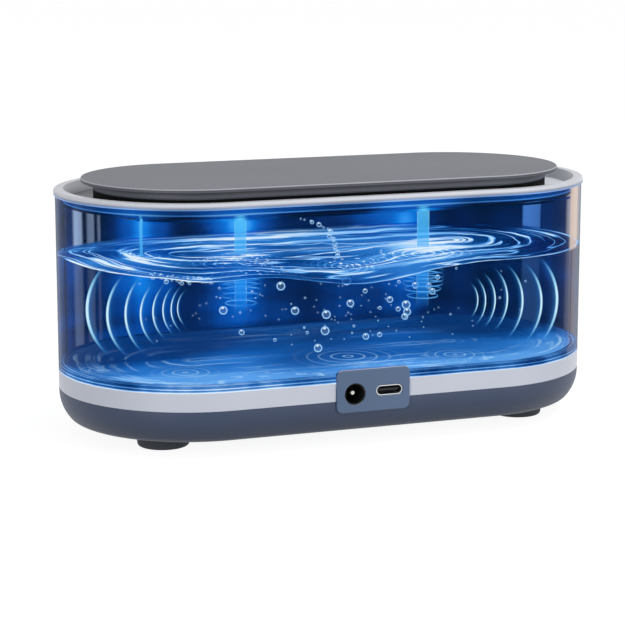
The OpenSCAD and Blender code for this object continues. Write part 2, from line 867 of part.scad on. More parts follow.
module top_rim() color("#e4e7ee") {
    r_fit = r_tank - fit_gap;
    r_face = r_rim - rim_face_w;
    z_under = z_ledge - ledge_t;
    slope = 1.4;
    low_edge = 0.3;
    top_edge = 0.8;
    difference() {
        sweep() {
            bar_section(r_fit, r_rim, z_rim_low, z_rim, low_edge, top_edge);
            polygon([
                [r_mouth, z_under], [r_fit, z_under], [r_fit, z_rim], [r_face, z_rim],
                [r_face - slope, z_ledge], [r_mouth, z_ledge]
            ]);
        }
        stadium_ring(r_wall - tongue_in + fit_gap, r_tank + tongue_in - fit_gap,
            z_rim_low - past, z_rim_low + groove_h);
    }
}

// Plate and collar of the lid, with the slot under it that the plug's wall stands in
module lid_cover() color("#6e717c") {
    r_in = r_plug + fit_gap;
    r_rib = r_in - lid_wall - 2 * fit_gap;
    rib_t = 1;
    plate_low = 0.35;
    plate_top = 0.45;
    collar_low = 0.3;
    difference() {
        union() {
            sweep() bar_section(0, r_plate, z_plate, body_h, plate_low, plate_top);
            sweep() bar_section(0, r_collar, z_collar, z_plate, collar_low, 0);
        }
        stadium_ring(r_in, r_rib, z_collar - past, z_plate);
        translate([0, 0, z_collar - past]) linear_extrude(z_plate - z_collar + past)
            stadium(r_rib - rib_t);
    }
}

module lid_plug() color("#585b66") {
    plug_edge = 0.8;
    difference() {
        sweep() bar_section(0, r_plug, z_plug, z_plate, plug_edge, 0);
        translate([0, 0, z_plug + lid_wall]) linear_extrude(z_plate - z_plug)
            stadium(r_plug - lid_wall);
    }
}

module lid_seal() color("#0e0f12") {
    seal_in = 0.2;
    stadium_ring(r_collar - seal_in, r_plug + run_gap, z_ledge, z_collar);
}

// Header and plug of a pair of leads, with the leads side by side along X
module lead_plug() {
    half_l = lead_plug_l / 2;
    half_w = lead_plug_w / 2;
    z_header = z_board_top + lead_plug_h / 2;
    box(-half_l, half_l, -half_w, half_w, z_board_top, z_header);
    box(lead_plug_step - half_l, half_l - lead_plug_step, lead_plug_step - half_w, half_w - lead_plug_step,
        z_header, z_lead);
}

module lead_plugs() color("#e8e6dc") {
    translate([light_plug_x, light_plug_y, 0]) lead_plug();
    translate([sound_plug_x, 0, 0]) rotate(90) lead_plug();
}

// Insulated wire that rises from its plug to height z and bends over to run l along X
module lead(z, l) {
    rise = z - lead_bend - z_lead;
    translate([0, 0, z_lead]) cylinder(r = lead_r, h = rise);
    translate([lead_bend, 0, z_lead + rise]) rotate([90, 0, 0]) rotate(90)
        rotate_extrude(angle = 90) translate([lead_bend, 0]) circle(r = lead_r);
    translate([lead_bend, 0, z]) rotate([0, 90, 0]) cylinder(r = lead_r, h = l - lead_bend);
}

// Leads to the electrode's tab and to the rim of the coupling disc, each with its drop of solder
module transducer_leads() color("#a33a34") {
    drop = lead_r + solder_h / 2;
    for (p = [[FRONT, z_electrode, piezo_r + tab_l / 2],
              [REAR, z_disc, piezo_r + (disc_margin - disc_edge) / 2]])
        translate([sound_plug_x, p[0] * lead_pitch / 2, 0]) rotate(180) {
            reach = sound_plug_x - p[2];
            lead(p[1] - drop, reach);
            translate([reach, 0, p[1] - 2 * drop]) cylinder(r = solder_r, h = 2 * drop);
        }
}

// Leads to the inner edge of the light strip
module light_leads() color("#2c2d31") {
    z = z_strip + lead_r + eps;
    reach = r_led - led_strip_w / 2 + solder_r + eps - light_plug_y;
    for (s = [LEFT, RIGHT]) translate([light_plug_x + s * lead_pitch / 2, light_plug_y, 0]) rotate(90) {
        lead(z, reach);
        translate([reach, 0, z_strip]) cylinder(r = solder_r, h = 2 * lead_r);
    }
}

base_housing();
foot_at(LEFT, FRONT);  // foot_front_left
foot_at(RIGHT, FRONT);  // foot_front_right
foot_at(LEFT, REAR);  // foot_rear_left
foot_at(RIGHT, REAR);  // foot_rear_right
base_screws();
mid_frame();
led_strip();
leds();
tank_wall();
floor_gasket();
tank_floor();
transducer_disc();
piezo_disc();
piezo_electrode();
main_board();
board_screws();
driver_chip();
inductor_core();
inductor_coil();
capacitors();
power_transistor();
dc_jack_body();
dc_jack_pin();
usb_board();
usb_header();
usb_shell();
usb_tongue();
port_panel();
power_button();
switch_body();
switch_plunger();
top_rim();
lid_cover();
lid_plug();
lid_seal();
lead_plugs();
transducer_leads();
light_leads();
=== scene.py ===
import math
import random
from functools import partial

import bmesh
import bpy
from bpy.props import FloatProperty, FloatVectorProperty, IntProperty, PointerProperty
from bpy.types import Operator, Panel, PropertyGroup
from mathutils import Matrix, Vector


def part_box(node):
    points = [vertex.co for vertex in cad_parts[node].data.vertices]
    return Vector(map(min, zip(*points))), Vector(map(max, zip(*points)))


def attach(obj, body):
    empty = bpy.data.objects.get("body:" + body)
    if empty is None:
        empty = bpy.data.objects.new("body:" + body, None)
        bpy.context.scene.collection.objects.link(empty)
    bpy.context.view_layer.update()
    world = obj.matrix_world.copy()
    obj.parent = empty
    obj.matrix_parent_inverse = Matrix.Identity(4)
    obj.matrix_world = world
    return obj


bl_info = {
    "name": "Ultrasonic jewelry cleaner",
    "version": (1, 0, 0),
    "blender": (4, 5, 0),
    "location": "3D View > Sidebar > Cleaner",
    "description": "Dresses the ultrasonic jewelry cleaner and fills its tank with lit water",
    "category": "Add Mesh",
}

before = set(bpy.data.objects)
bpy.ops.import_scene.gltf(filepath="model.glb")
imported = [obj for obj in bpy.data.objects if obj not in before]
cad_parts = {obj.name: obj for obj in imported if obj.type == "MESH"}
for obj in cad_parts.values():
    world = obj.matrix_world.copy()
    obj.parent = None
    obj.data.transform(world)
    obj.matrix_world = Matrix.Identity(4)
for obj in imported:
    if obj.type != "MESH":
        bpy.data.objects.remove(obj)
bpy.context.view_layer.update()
MM = 0.001

# The tank, taken from the frame: its wall's radii, half of its straight length and its heights
WALL_LOW, WALL_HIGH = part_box("tank_wall")
OUTER_R = WALL_HIGH.y
INNER_R = OUTER_R - 2.5 * MM
HALF_STRAIGHT = WALL_HIGH.x - OUTER_R
FLOOR_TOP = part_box("tank_floor")[1].z
RIM_LOW, RIM_HIGH = (corner.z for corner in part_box("top_rim"))

# The shafts of light, in millimetres: name, place, radius and foot
SHAFTS = (("left", -62.8, 0, 0.45, 55), ("middle", -29.2, 0, 1.9, 36), ("right", 32, -8.6, 2, 36))
SHAFT_TOP = 71.8
SHAFT_BLUE = "#5cc8ff"

# Short words for what many nodes say
SIGNS = {"+": "ADD", "-": "SUBTRACT", "*": "MULTIPLY"}
SOFT = {"interpolation_type": "SMOOTHSTEP"}
RGBA = {"data_type": "RGBA"}


def linear(code):
    """Turn an sRGB hex colour into the linear values that shaders and colour fields use."""
    parts = [int(code[i : i + 2], 16) / 255 for i in (1, 3, 5)]
    return tuple(c / 12.92 if c <= 0.04045 else ((c + 0.055) / 1.055) ** 2.4 for c in parts)


def colour(name, code, description):
    """A colour field of a property group."""
    return FloatVectorProperty(
        name=name, description=description, subtype="COLOR", size=3, min=0, max=1, default=linear(code)
    )


def measure(name, value, description, **unit):
    """A length or angle field of a property group."""
    return FloatProperty(name=name, description=description, default=value, **unit)


class HousingLook(PropertyGroup):
    """Colours of the moulded outside."""

    base: colour("Base", "#374560", "Moulded ABS of the base")
    panel: colour("Panel", "#566d8e", "Moulded ABS of the sockets' panel")
    band: colour("Band", "#dde2f0", "Moulded ABS of the pale middle frame")
    rim: colour("Rim", "#e4e7f0", "Frosted plastic of the tank's rim")
    lid: colour("Lid", "#60646f", "Moulded ABS of the lid")
    # Real spark-eroded grain is about 0.1 mm, too fine to show, so it is drawn coarser
    grain: measure("Grain", 0.6 * MM, "Spark-eroded grain of the mould", unit="LENGTH")


class WaterLook(PropertyGroup):
    """Sizes and colours of the lit water in the tank."""

    level: measure("Level", 57 * MM, "Height of the water above the table", unit="LENGTH")
    swell: measure("Swell", 0.9 * MM, "Height of the rings on the water", unit="LENGTH")
    deep: colour("Deep", "#001636", "Shaded water against the far wall")
    spark: colour("Spark", "#bfeaff", "Brightest light on wave tops")
    bubbles: IntProperty(name="Bubbles", description="Number of bubbles in the water", default=170, min=0)


class StageLook(PropertyGroup):
    """Where the camera stands."""

    azimuth: measure("Azimuth", math.radians(-20.56), "Turn of the camera round the cleaner", subtype="ANGLE")
    elevation: measure("Elevation", math.radians(10.83), "Camera's angle above the table", subtype="ANGLE")
    distance: measure("Distance", 0.69645, "Camera to the middle of the cleaner", unit="LENGTH")
    lens: measure("Lens", 120.5, "Focal length on a 36 mm sensor", unit="CAMERA")


def tint(shade):
    """A colour as a socket takes it, from a hex code, a grey level or linear values."""
    if isinstance(shade, str):
        shade = linear(shade)
    elif isinstance(shade, (int, float)):
        shade = (shade,) * 3
    return (*shade[:3], 1)


def add_node(tree, kind, *values, stops=(), named=None, **settings):
    """Add one node with its settings, its inputs and a ramp's stops.

    Values go to the node's enabled sockets in their order, so a Map Range takes its value, the two
    ends it reads and the two ends it gives. Named ones go to the sockets of those names. A node
    given as a value stands for its first enabled output. A sign or an operation as the kind means
    Math nodes, one after another from left to right where there are more than two values."""
    if kind in SIGNS or kind.isupper():
        if len(values) > 2:
            values = add_node(tree, kind, *values[:-1]), values[-1]
        kind, settings["operation"] = "Math", SIGNS.get(kind, kind)
    made = tree.nodes.new("ShaderNode" + kind)
    for name, value in settings.items():
        setattr(made, name, value)
    pairs = list(zip([socket for socket in made.inputs if socket.enabled], values))
    for socket, value in pairs + [(made.inputs[name], value) for name, value in (named or {}).items()]:
        if isinstance(value, bpy.types.Node):
            value = next(output for output in value.outputs if output.enabled)
        if isinstance(value, bpy.types.NodeSocket):
            tree.links.new(value, socket)
        else:
            socket.default_value = tint(value) if socket.type == "RGBA" else value
    if stops:
        points = made.color_ramp.elements
        while len(points) < len(stops):
            points.new(0.5)
        for point, (place, shade) in zip(points, stops):
            point.position = place
            point.color = tint(shade)
    return made


def emptied(owner):
    """Clear the nodes of a material or a world, and give the function that adds new ones there."""
    owner.use_nodes = True
    owner.node_tree.nodes.clear()
    return partial(add_node, owner.node_tree)


def start(name):
    """A node material, its adding function, and a point's place on the piece: whole, and as X, Y and Z."""
    made = bpy.data.materials.new(name)
    add = emptied(made)
    place = add("TexCoord").outputs["Object"]
    return made, add, place, add("SeparateXYZ", place).outputs


def seen(add):
    """One for rays from the camera, straight, by a mirror or through glass, and nothing for others."""
    ray = add("LightPath").outputs
    return add("MAXIMUM", ray["Is Camera Ray"], ray["Is Glossy Ray"], ray["Is Transmission Ray"])


def in_front(add):
    """One on faces that point at the eye, and nothing on their backs."""
    return add("-", 1, add("NewGeometry").outputs["Backfacing"])


def toward(add, x, y, z):
    """How far a face points one way."""
    normal = add("NewGeometry").outputs["Normal"]
    return add("VectorMath", normal, (x, y, z), operation="DOT_PRODUCT")


def topped(add, *_):
    """The level top faces of a piece."""
    normal = add("NewGeometry").outputs["Normal"]
    return add("GREATER_THAN", add("SeparateXYZ", normal).outputs["Z"], 0.7)


def from_wall(add, axes):
    """How far a point lies from the tank's middle line: the same along a ring that follows the wall."""
    along = add("-", add("ABSOLUTE", axes["X"]), HALF_STRAIGHT)
    flat = add("CombineXYZ", add("MAXIMUM", along, 0), axes["Y"])
    return add("VectorMath", flat, operation="LENGTH")


def from_point(add, place, x, y):
    """How far a point lies from an upright line, seen from above."""
    moved = add("VectorMath", place, (x * MM, y * MM, 0), operation="SUBTRACT")
    flat = add("VectorMath", moved, (1, 1, 0), operation="MULTIPLY")
    return add("VectorMath", flat, operation="LENGTH")


def lines(add, reach, pitch, sharp, fade_from=None, fade_to=None):
    """Thin bright lines, one each pitch in millimetres, that may fade over a distance."""
    wave = add("SINE", add("*", reach, 2 * math.pi / (pitch * MM)))
    thin = add("MapRange", wave, sharp, 1, **SOFT)
    if fade_to is None:
        return thin
    return add("*", thin, add("MapRange", reach, fade_from * MM, fade_to * MM, 1, 0))


def slanted(add, axes):
    """A point's place along the tank, on level lines that run aslant from its near to its far wall."""
    return add("-", axes["X"], add("*", axes["Y"], 0.36))


def gap_to(add, value, middle):
    """How far a value lies from a middle in millimetres."""
    return add("ABSOLUTE", add("-", value, middle * MM))


def halos(add, axes, *spots):
    """Light round the shafts: slanted place and half width in millimetres, and strength."""
    slant = slanted(add, axes)
    parts = []
    for x, wide, power in spots:
        gap = gap_to(add, slant, x)
        parts.append(add("MapRange", gap, 0, wide * MM, power, 0, interpolation_type="SMOOTHERSTEP"))
    return add("+", *parts)


def lit(add, shade, share=None, veil="#ffffff"):
    """Light that comes from the piece itself, over whatever shows through the rest of it."""
    surface = add("Emission", shade, 1)
    if share is not None:
        surface = add("MixShader", share, add("BsdfTransparent", veil), surface)
    add("OutputMaterial", surface)


def brushed(add, place, axes):
    """Straight scratches along X. Real ones are far finer, so they are drawn 0.25 mm apart to show."""
    drawn = add("Mapping", place, named={"Scale": (0.04, 1, 1)})
    return add("TexNoise", drawn, 1 / (0.25 * MM), 2)


def turned(node, pitch):
    """Rings round the middle of a frame piece, as a lathe leaves them."""
    middle = sum(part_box(node), Vector()) / 2 / MM
    return lambda add, place, axes: lines(add, from_point(add, place, middle.x, middle.y), pitch, -1)


def stacked(pitch):
    """Level ribs, one above another, as turns of wire."""
    return lambda add, place, axes: lines(add, axes["Z"], pitch, -1)


def speckled(size):
    """Small round spots, as grains show in a fired or pressed powder."""

    def spots(add, place, axes):
        return add("MapRange", add("TexVoronoi", place, 1 / size), 0.25, 0.4, 0.6, 0)

    return spots


def traced(length):
    """The copper tracks of a circuit board, seen as lines through its coating."""
    mortar = {"Scale": 0.5 / length, "Mortar Size": 0.03, "Mortar Smooth": 0.2}
    return lambda add, place, axes: add("TexBrick", place, named=mortar).outputs["Fac"]


def coat(piece, material):
    """Give a piece one material in place of what it has."""
    piece.data.materials.clear()
    piece.data.materials.append(material)


def dress(material, nodes):
    """Give frame pieces a material in place of their plain ones."""
    for name in nodes.split():
        coat(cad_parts[name], material)


def moulded(
    nodes, name, shade, rough=0.45, grain=0.6 * MM, depth=0.012 * MM, drift=0.06, metallic=0,
    relief=None, mark=None, marked=None, over=None, sheen=0.5, shine=0,
):
    """Dress frame pieces in a fine all-over grain, a slow drift of colour and small changes of gloss.

    Relief draws its own height in place of the grain, mark says where a second colour shows, and
    over draws on top of both."""
    made, add, place, axes = start(name)
    shade = tint(shade)[:3]
    slow = add("TexNoise", place, 1 / (30 * MM), 3)
    fine = add("TexNoise", place, 1 / grain, 2)
    if relief:
        fine = add("+", add("*", relief(add, place, axes), 0.8), add("*", fine, 0.2))
    dark = tuple(c * (1 - drift) for c in shade)
    pale = tuple(min(1, c * (1 + drift)) for c in shade)
    tone = add("ValToRGB", slow, stops=((0.3, dark), (0.7, pale)))
    if mark:
        tone = add("Mix", mark(add, place, axes), tone, marked, **RGBA)
    if over:
        tone = over(add, axes, tone)
    look = {
        "Base Color": tone,
        "Roughness": add("MapRange", fine, 0, 1, rough - 0.06, rough + 0.06),
        "Normal": add("Bump", named={"Height": fine, "Strength": 0.5, "Distance": depth}),
        "Metallic": metallic,
        "Specular IOR Level": sheen,
    }
    if shine:
        look |= {"Emission Color": tone, "Emission Strength": shine}
    add("OutputMaterial", add("BsdfPrincipled", named=look))
    dress(made, nodes)


def choose(*pieces):
    """Select only these pieces, and make the first of them the active one."""
    bpy.ops.object.select_all(action="DESELECT")
    for piece in pieces:
        piece.select_set(True)
    if pieces:
        bpy.context.view_layer.objects.active = pieces[0]


def edit():
    """Have the active piece's mesh open, with all of it selected."""
    bpy.ops.object.mode_set(mode="EDIT")
    bpy.ops.mesh.select_all(action="SELECT")


def shut():
    """Close the open mesh."""
    bpy.ops.object.mode_set(mode="OBJECT")


def extrude(x=0, z=0):
    """Draw out what is selected in the open mesh."""
    bpy.ops.mesh.extrude_region_move(TRANSFORM_OT_translate={"value": (x, 0, z)})


def pick(test, mode="VERT"):
    """In edit mode, select only the parts whose middle passes the test."""
    bpy.ops.mesh.select_mode(type=mode)
    bpy.ops.mesh.select_all(action="DESELECT")
    shape = bmesh.from_edit_mesh(bpy.context.object.data)
    parts = {"VERT": shape.verts, "EDGE": shape.edges, "FACE": shape.faces}[mode]
    for part in parts:
        middle = part.co if mode == "VERT" else sum((v.co for v in part.verts), Vector()) / len(part.verts)
        if test(part, middle):
            part.select_set(True)
    shape.select_flush_mode()
    bmesh.update_edit_mesh(bpy.context.object.data)


def settle(name, material):
    """Name the piece, put its place in its mesh, and give it its material, slot and body."""
    piece = bpy.context.object
    bpy.ops.object.transform_apply()
    piece.name = name
    piece.data.name = name
    coat(piece, material)
    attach(piece, "main_body")
    return piece


def stadium_line(radius, height):
    """A closed line round the tank: two half rounds joined by straight sides."""
    straight = 12  # Edges on half of a straight side
    choose()
    bpy.ops.mesh.primitive_circle_add(vertices=96, radius=radius, location=(HALF_STRAIGHT, 0, height))
    piece = bpy.context.object
    bpy.ops.object.transform_apply()
    edit()
    bpy.ops.mesh.bisect(plane_co=(HALF_STRAIGHT, 0, 0), plane_no=(1, 0, 0), clear_inner=True, threshold=1e-6)
    for side in (1, -1):
        pick(lambda part, at: abs(at.x - HALF_STRAIGHT) < 1e-5 and at.y * side > 0)
        for _ in range(straight):
            extrude(x=-HALF_STRAIGHT / straight)
    shut()
    mirror = piece.modifiers.new("Other end", "MIRROR")
    mirror.merge_threshold = 1e-5
    bpy.ops.object.modifier_apply(modifier=mirror.name)
    return piece


class CLEANER_OT_stage(Operator):
    """Set the camera, the pale floor and the soft studio light"""

    bl_idname = "cleaner.stage"
    bl_label = "Stage"

    def execute(self, context):
        look = context.scene.cleaner_stage
        target = Vector((-4.07, 0, 35.31)) * MM
        flat, rise = math.cos(look.elevation), math.sin(look.elevation)
        away = Vector((math.sin(look.azimuth) * flat, -math.cos(look.azimuth) * flat, rise))
        turn = (-away).to_track_quat("-Z", "Y").to_euler()
        bpy.ops.object.camera_add(location=target + away * look.distance, rotation=turn)
        camera = context.scene.camera = context.object
        camera.data.lens = look.lens
        camera.data.clip_start = 0.01

        bpy.ops.mesh.primitive_plane_add(size=8, location=(0, 0, 0))
        floor = context.object
        floor.name = "floor"
        # Paper: matt, and lifted to white where the eye meets it, so that shadows stay soft
        made, add, *_ = start("paper_sweep")
        shine = add("Emission", "#ffffff", add("*", seen(add), 0.9))
        add("OutputMaterial", add("AddShader", add("BsdfDiffuse", "#909090"), shine))
        coat(floor, made)

        world = bpy.data.worlds.new("studio")
        add = emptied(world)
        level = add("MapRange", seen(add), 0, 1, 0.33, 1)
        add("OutputWorld", add("Background", "#ffffff", level))
        context.scene.world = world

        # Square lamps: place and size in metres, and watts
        lamps = (((0.6, -0.1, 0.95), 0.4, 2.6), ((0.75, -1.1, 0.3), 0.6, 5.6), ((-1, -0.9, 0.25), 0.6, 6.4))
        for place, size, power in lamps:
            aim = (Vector((0, 0, 0.04)) - Vector(place)).to_track_quat("-Z", "Y").to_euler()
            bpy.ops.object.light_add(type="AREA", location=place, rotation=aim)
            lamp = context.object.data
            lamp.shape = "SQUARE"
            lamp.size = size
            lamp.energy = power

        context.scene.view_settings.view_transform = "Standard"
        return {"FINISHED"}


class CLEANER_OT_housing(Operator):
    """Finish the base, its feet and screws, the pale frame and the power key"""

    bl_idname = "cleaner.housing"
    bl_label = "Housing"

    def execute(self, context):
        look = context.scene.cleaner_housing
        grain = look.grain

        # Painted shade: the base darkened towards its foot, where its curve turns away from the light
        def shaded(add, place, axes):
            return add("MapRange", axes["Z"], 4 * MM, 12 * MM, 0.55, 0)

        # ABS from a spark-eroded mould: an even, low sheen with a fine grain, and painted shade darkening it
        # towards its foot
        base = {"rough": 0.48, "mark": shaded, "marked": "#141b28"}
        moulded("base_housing", "abs_moulded_base", look.base, grain=grain, **base)
        # The same plastic from a smoother mould, a little bluer, with a painted highlight along its top edge
        panel = {"rough": 0.42, "mark": topped, "marked": "#c3cbe0"}
        moulded("port_panel", "abs_moulded_panel", look.panel, grain=grain, **panel)
        moulded("power_button", "abs_moulded_key", tuple(c * 0.8 for c in look.base), rough=0.4, grain=grain)
        # ABS from a polished mould: paler and a little glossier
        moulded("mid_frame", "abs_satin_band", look.band, rough=0.34, grain=grain, drift=0.02)
        # Compression-moulded rubber: near black, matt, with a powdery bloom
        feet = "foot_front_left foot_front_right foot_rear_left foot_rear_right"
        bloom = {"rough": 0.75, "grain": 0.9 * MM, "depth": 0.03 * MM, "drift": 0.15}
        moulded(feet, "rubber_moulded_feet", "#2b2f38", **bloom)
        # Zinc-plated steel: bright, with a brushed drift of tone
        zinc = {"rough": 0.32, "grain": 0.3 * MM, "metallic": 1, "relief": brushed}
        moulded("base_screws board_screws", "steel_zinc_plated", "#b9bcc2", **zinc)
        return {"FINISHED"}


class CLEANER_OT_sockets(Operator):
    """Finish the two sockets of the front panel"""

    bl_idname = "cleaner.sockets"
    bl_label = "Sockets"

    def execute(self, context):
        # Glass-filled nylon: black, with a low even sheen
        nylon = {"rough": 0.42, "grain": 0.5 * MM, "sheen": 0.3}
        moulded("dc_jack_body usb_tongue", "nylon_moulded_black", "#141518", **nylon)
        # Nickel plate over brass: a warm, smooth mirror that blurs a little
        moulded("dc_jack_pin", "brass_nickel_plated", "#cfccc4", rough=0.2, grain=0.3 * MM, metallic=1)
        # Drawn steel: cool grey, with the press's fine lines
        drawn = {"rough": 0.25, "grain": 0.3 * MM, "metallic": 1, "relief": brushed}
        moulded("usb_shell", "steel_drawn_shell", "#c9cbd0", **drawn)
        return {"FINISHED"}


class CLEANER_OT_lid(Operator):
    """Finish the lid, its plug and its seal"""

    bl_idname = "cleaner.lid"
    bl_label = "Lid"

    def execute(self, context):
        look = context.scene.cleaner_housing
        low, high = (corner.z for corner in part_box("lid_cover"))
        # From the collar's foot to the plate's top edge: painted light on the collar in the plate's shade, a
        # painted shadow line under the plate, painted shade on the plate's side and a painted highlight along
        # its top edge
        steps = (
            (0, "#666a74"), (0.5, "#4c4f58"), (0.63, "#26282f"), (0.66, "#5e606a"),
            (0.88, "#44464e"), (0.92, "#a4a6b0"), (0.97, "#c0c2cc"),
        )

        # Painted light and shade on the lid's collar, side and top edge, by height
        def painted_edge_light(add, axes, top):
            side = add("ValToRGB", add("MapRange", axes["Z"], low, high), stops=steps)
            flat = add("GREATER_THAN", axes["Z"], high - 0.03 * MM)
            return add("Mix", flat, side, top, **RGBA)

        def painted_collar_light(add, place, axes):
            return add("GREATER_THAN", axes["Z"], low - 0.25 * MM)

        # ABS from a fine matt mould, with painted light on its edges: a painted highlight along the top edge,
        # painted shade below it
        moulded("lid_cover", "abs_matt_lid", look.lid, rough=0.5, grain=look.grain, over=painted_edge_light)
        # ABS from a satin mould: darker, as it stands in the lid's shade
        moulded("lid_plug", "abs_satin_plug", "#4a4d57", rough=0.45, grain=look.grain)
        # Silicone: soft, dark and slightly greasy in gloss, with painted light on its top: a grey band that
        # carries on the lit collar above it
        rubber = {"rough": 0.7, "grain": 0.8 * MM, "sheen": 0.1, "mark": painted_collar_light, "marked": "#5c606a"}
        moulded("lid_seal", "silicone_moulded_seal", "#040506", **rubber)
        return {"FINISHED"}


def clear_wall(level):
    """Polycarbonate, injection-moulded and polished: clear, with a mirror only at a glancing angle."""
    made, add, _, axes = start("polycarbonate_polished_clear")
    made.surface_render_method = "BLENDED"
    front = in_front(add)
    clear = add("BsdfTransparent", "#f4f8fd")
    mirror = add("BsdfGlossy", (0.62, 0.7, 0.8), 0.04)
    edge = add("Fresnel", 1.14)
    both = add("MixShader", add("*", edge, front), clear, mirror)
    # Painted shade: seen edge-on, a dark line is painted where the wall's thickness takes the light away
    dim = add("MapRange", add("LayerWeight", 0.5).outputs["Facing"], 0.84, 0.95, 0, 0.8)
    painted_edge_shade = add("BsdfTransparent", "#343b4c")
    both = add("MixShader", add("*", dim, front), both, painted_edge_shade)
    # A painted reflection: a warm stripe of light glows in the right end of the wall, above the water
    stripe = add("MapRange", toward(add, 0.7, -0.714, 0), 0.994, 0.998, 0, 0.7)
    above = add("MapRange", axes["Z"], level - 0.5 * MM, level + 0.5 * MM, 0.12)
    right = add("GREATER_THAN", axes["X"], HALF_STRAIGHT)
    warm = add("Emission", "#ecd6c6", 1)
    both = add("MixShader", add("*", stripe, above, right, front), both, warm)
    add("OutputMaterial", both)
    dress(made, "tank_wall")


def frosted_rim(look):
    """Frosted polycarbonate, moulded: milky white outside, with a painted blue glow where it stands inside
    the lit wall, and painted shade and light on its sunk ledge.
    """
    made, add, place, axes = start("polycarbonate_frosted_rim")
    climb = add("MapRange", axes["Z"], RIM_LOW, RIM_HIGH)
    top = topped(add)
    ledge = add("LESS_THAN", climb, 0.5)

    # Painted light: a blue glow on what hangs inside the wall, in steps up the rim, stronger round the shafts
    normal = add("SeparateXYZ", add("NewGeometry").outputs["Normal"]).outputs
    out = add("GREATER_THAN", from_wall(add, axes), INNER_R - 2.5 * MM)
    below = add("*", add("LESS_THAN", normal["Z"], 0.3), out)
    plain = (
        (0.16, "#021c46"), (0.18, "#3d8ade"), (0.23, "#3d8ade"), (0.27, "#073f84"), (0.58, "#0a4c98"),
        (0.6, "#86b4ee"), (0.67, "#6c9be0"), (0.7, "#2f4f7c"), (0.8, "#1c2f4c"), (0.86, "#000000"),
    )
    shone = (
        (0.13, "#0a6ae0"), (0.17, "#6cbcff"), (0.24, "#7cc6ff"), (0.28, "#0c74e0"), (0.56, "#0a60c8"),
        (0.6, "#a4d2ff"), (0.67, "#8cbcf4"), (0.72, "#4a70a4"), (0.86, "#000000"),
    )
    plain, shone = (add("ValToRGB", climb, stops=steps) for steps in (plain, shone))
    glow = halos(add, axes, (-60.4, 13, 0.6), (-28.2, 18, 0.85), (31, 22, 0.85))
    blue = add("Mix", glow, plain, shone, **RGBA)
    beam = halos(add, axes, (-60.4, 0.8, 0.8), (-28.2, 2.9, 1), (32.6, 3, 1))
    beam = add("*", beam, add("LESS_THAN", climb, 0.17))
    blue = add("Mix", beam, blue, SHAFT_BLUE, **RGBA)
    blue = add("Mix", top, blue, look.rim, **RGBA)
    along = add("Mapping", place, named={"Scale": (1, 1, 0)})
    where = add("MapRange", add("TexNoise", along, 24, 2), 0.35, 0.65, 0.45, 1.05)

    fine = add("TexNoise", place, 1 / look.grain, 2)
    milk = add("ValToRGB", fine, stops=((0.3, tuple(c * 0.96 for c in look.rim)), (0.7, look.rim)))
    # Painted shade: the sunk ledge is darkened towards the left, where the lid's shadow falls
    end = add("MapRange", axes["X"], -80 * MM, 40 * MM, 0.82, 0)
    thin = add("*", top, ledge, end)
    milk = add("Mix", thin, milk, "#2c3444", **RGBA)
    # Painted light: towards the right the ledge's top glows a little, where the lamps light it more
    through = add("MapRange", axes["X"], 30 * MM, 75 * MM, 0, 0.26)
    through = add("*", top, through, ledge)
    inside = add("*", below, add("MapRange", climb, 0.66, 0.86, 1, 0))
    shader = {
        "Base Color": add("Mix", inside, milk, 0, **RGBA),
        "Roughness": 0.36,
        "Normal": add("Bump", named={"Height": fine, "Strength": 0.4, "Distance": 0.01 * MM}),
        "Emission Color": blue,
        "Emission Strength": add("+", add("*", below, where), through),
    }
    add("OutputMaterial", add("BsdfPrincipled", named=shader))
    dress(made, "top_rim")


def lit_floor(spark):
    """Stainless steel, drawn and brushed, with painted blue light glowing from it, which the ripples gather
    into bright lines.
    """
    made, add, place, axes = start("stainless_steel_lit_floor")
    sway = add("*", add("-", add("TexNoise", place, 40, 3), 0.5), 9 * MM)
    wall = add("+", from_wall(add, axes), sway)
    stretched = add("Mapping", place, named={"Scale": (0.35, 1, 1)})

    # Folds of light along the wall, broken into patches
    run = add("CombineXYZ", add("*", axes["X"], 0.25), wall)
    fold = add("ABSOLUTE", add("-", add("TexNoise", run, 110, 3), 0.5))
    fold = add("MapRange", fold, 0.003, 0.016, 0.6, 0)
    where = add("MapRange", add("TexNoise", stretched, 60, 3), 0.44, 0.64)
    rings = add("*", add("+", lines(add, wall, 7.2, 0.8), fold), where)
    # Round ripples: place, pitch and reach in millimetres
    spots = ((-53.7, -16.7, 3.3, 13), (38.3, -21.6, 3, 13), (4, -12, 4.2, 20), (-79, -8, 2.6, 9))
    for x, y, pitch, reach in spots:
        away = add("+", from_point(add, place, x, y), add("*", sway, 0.45))
        rings = add("+", rings, add("*", lines(add, away, pitch, 0.7, 2, reach), 0.8))
    shown = add("MapRange", axes["Y"], -INNER_R, 20 * MM, 1, 0.1)
    rings = add("*", add("MINIMUM", rings, 1), shown)
    sparks = add("MapRange", add("TexNoise", place, 240, 4), 0.56, 0.7, 0, 0.8)
    front = add("MapRange", axes["Y"], -36 * MM, -20 * MM, 1, 0)
    rings = add("MAXIMUM", rings, add("*", sparks, front))

    # Painted blue light on the floor, brighter towards the near wall and in a pool at the left
    slow = add("TexNoise", stretched, 34, 4)
    near = add("MapRange", axes["Y"], -INNER_R, INNER_R, 0.22, -0.36)
    pool = from_point(add, place, -48, -26)
    pool = add("MapRange", pool, 8 * MM, 42 * MM, 0.16, 0, **SOFT)
    blues = ((0.28, "#03356e"), (0.44, "#0c5aa4"), (0.6, "#2c7ecc"), (0.76, "#5fa8ec"))
    body = add("ValToRGB", add("+", slow, near, pool), stops=blues)
    shader = {
        "Base Color": "#343f52",
        "Metallic": 1,
        "Roughness": 0.45,
        "Emission Color": add("Mix", rings, body, spark, **RGBA),
        "Emission Strength": 0.9,
    }
    add("OutputMaterial", add("BsdfPrincipled", named=shader))
    dress(made, "tank_floor")


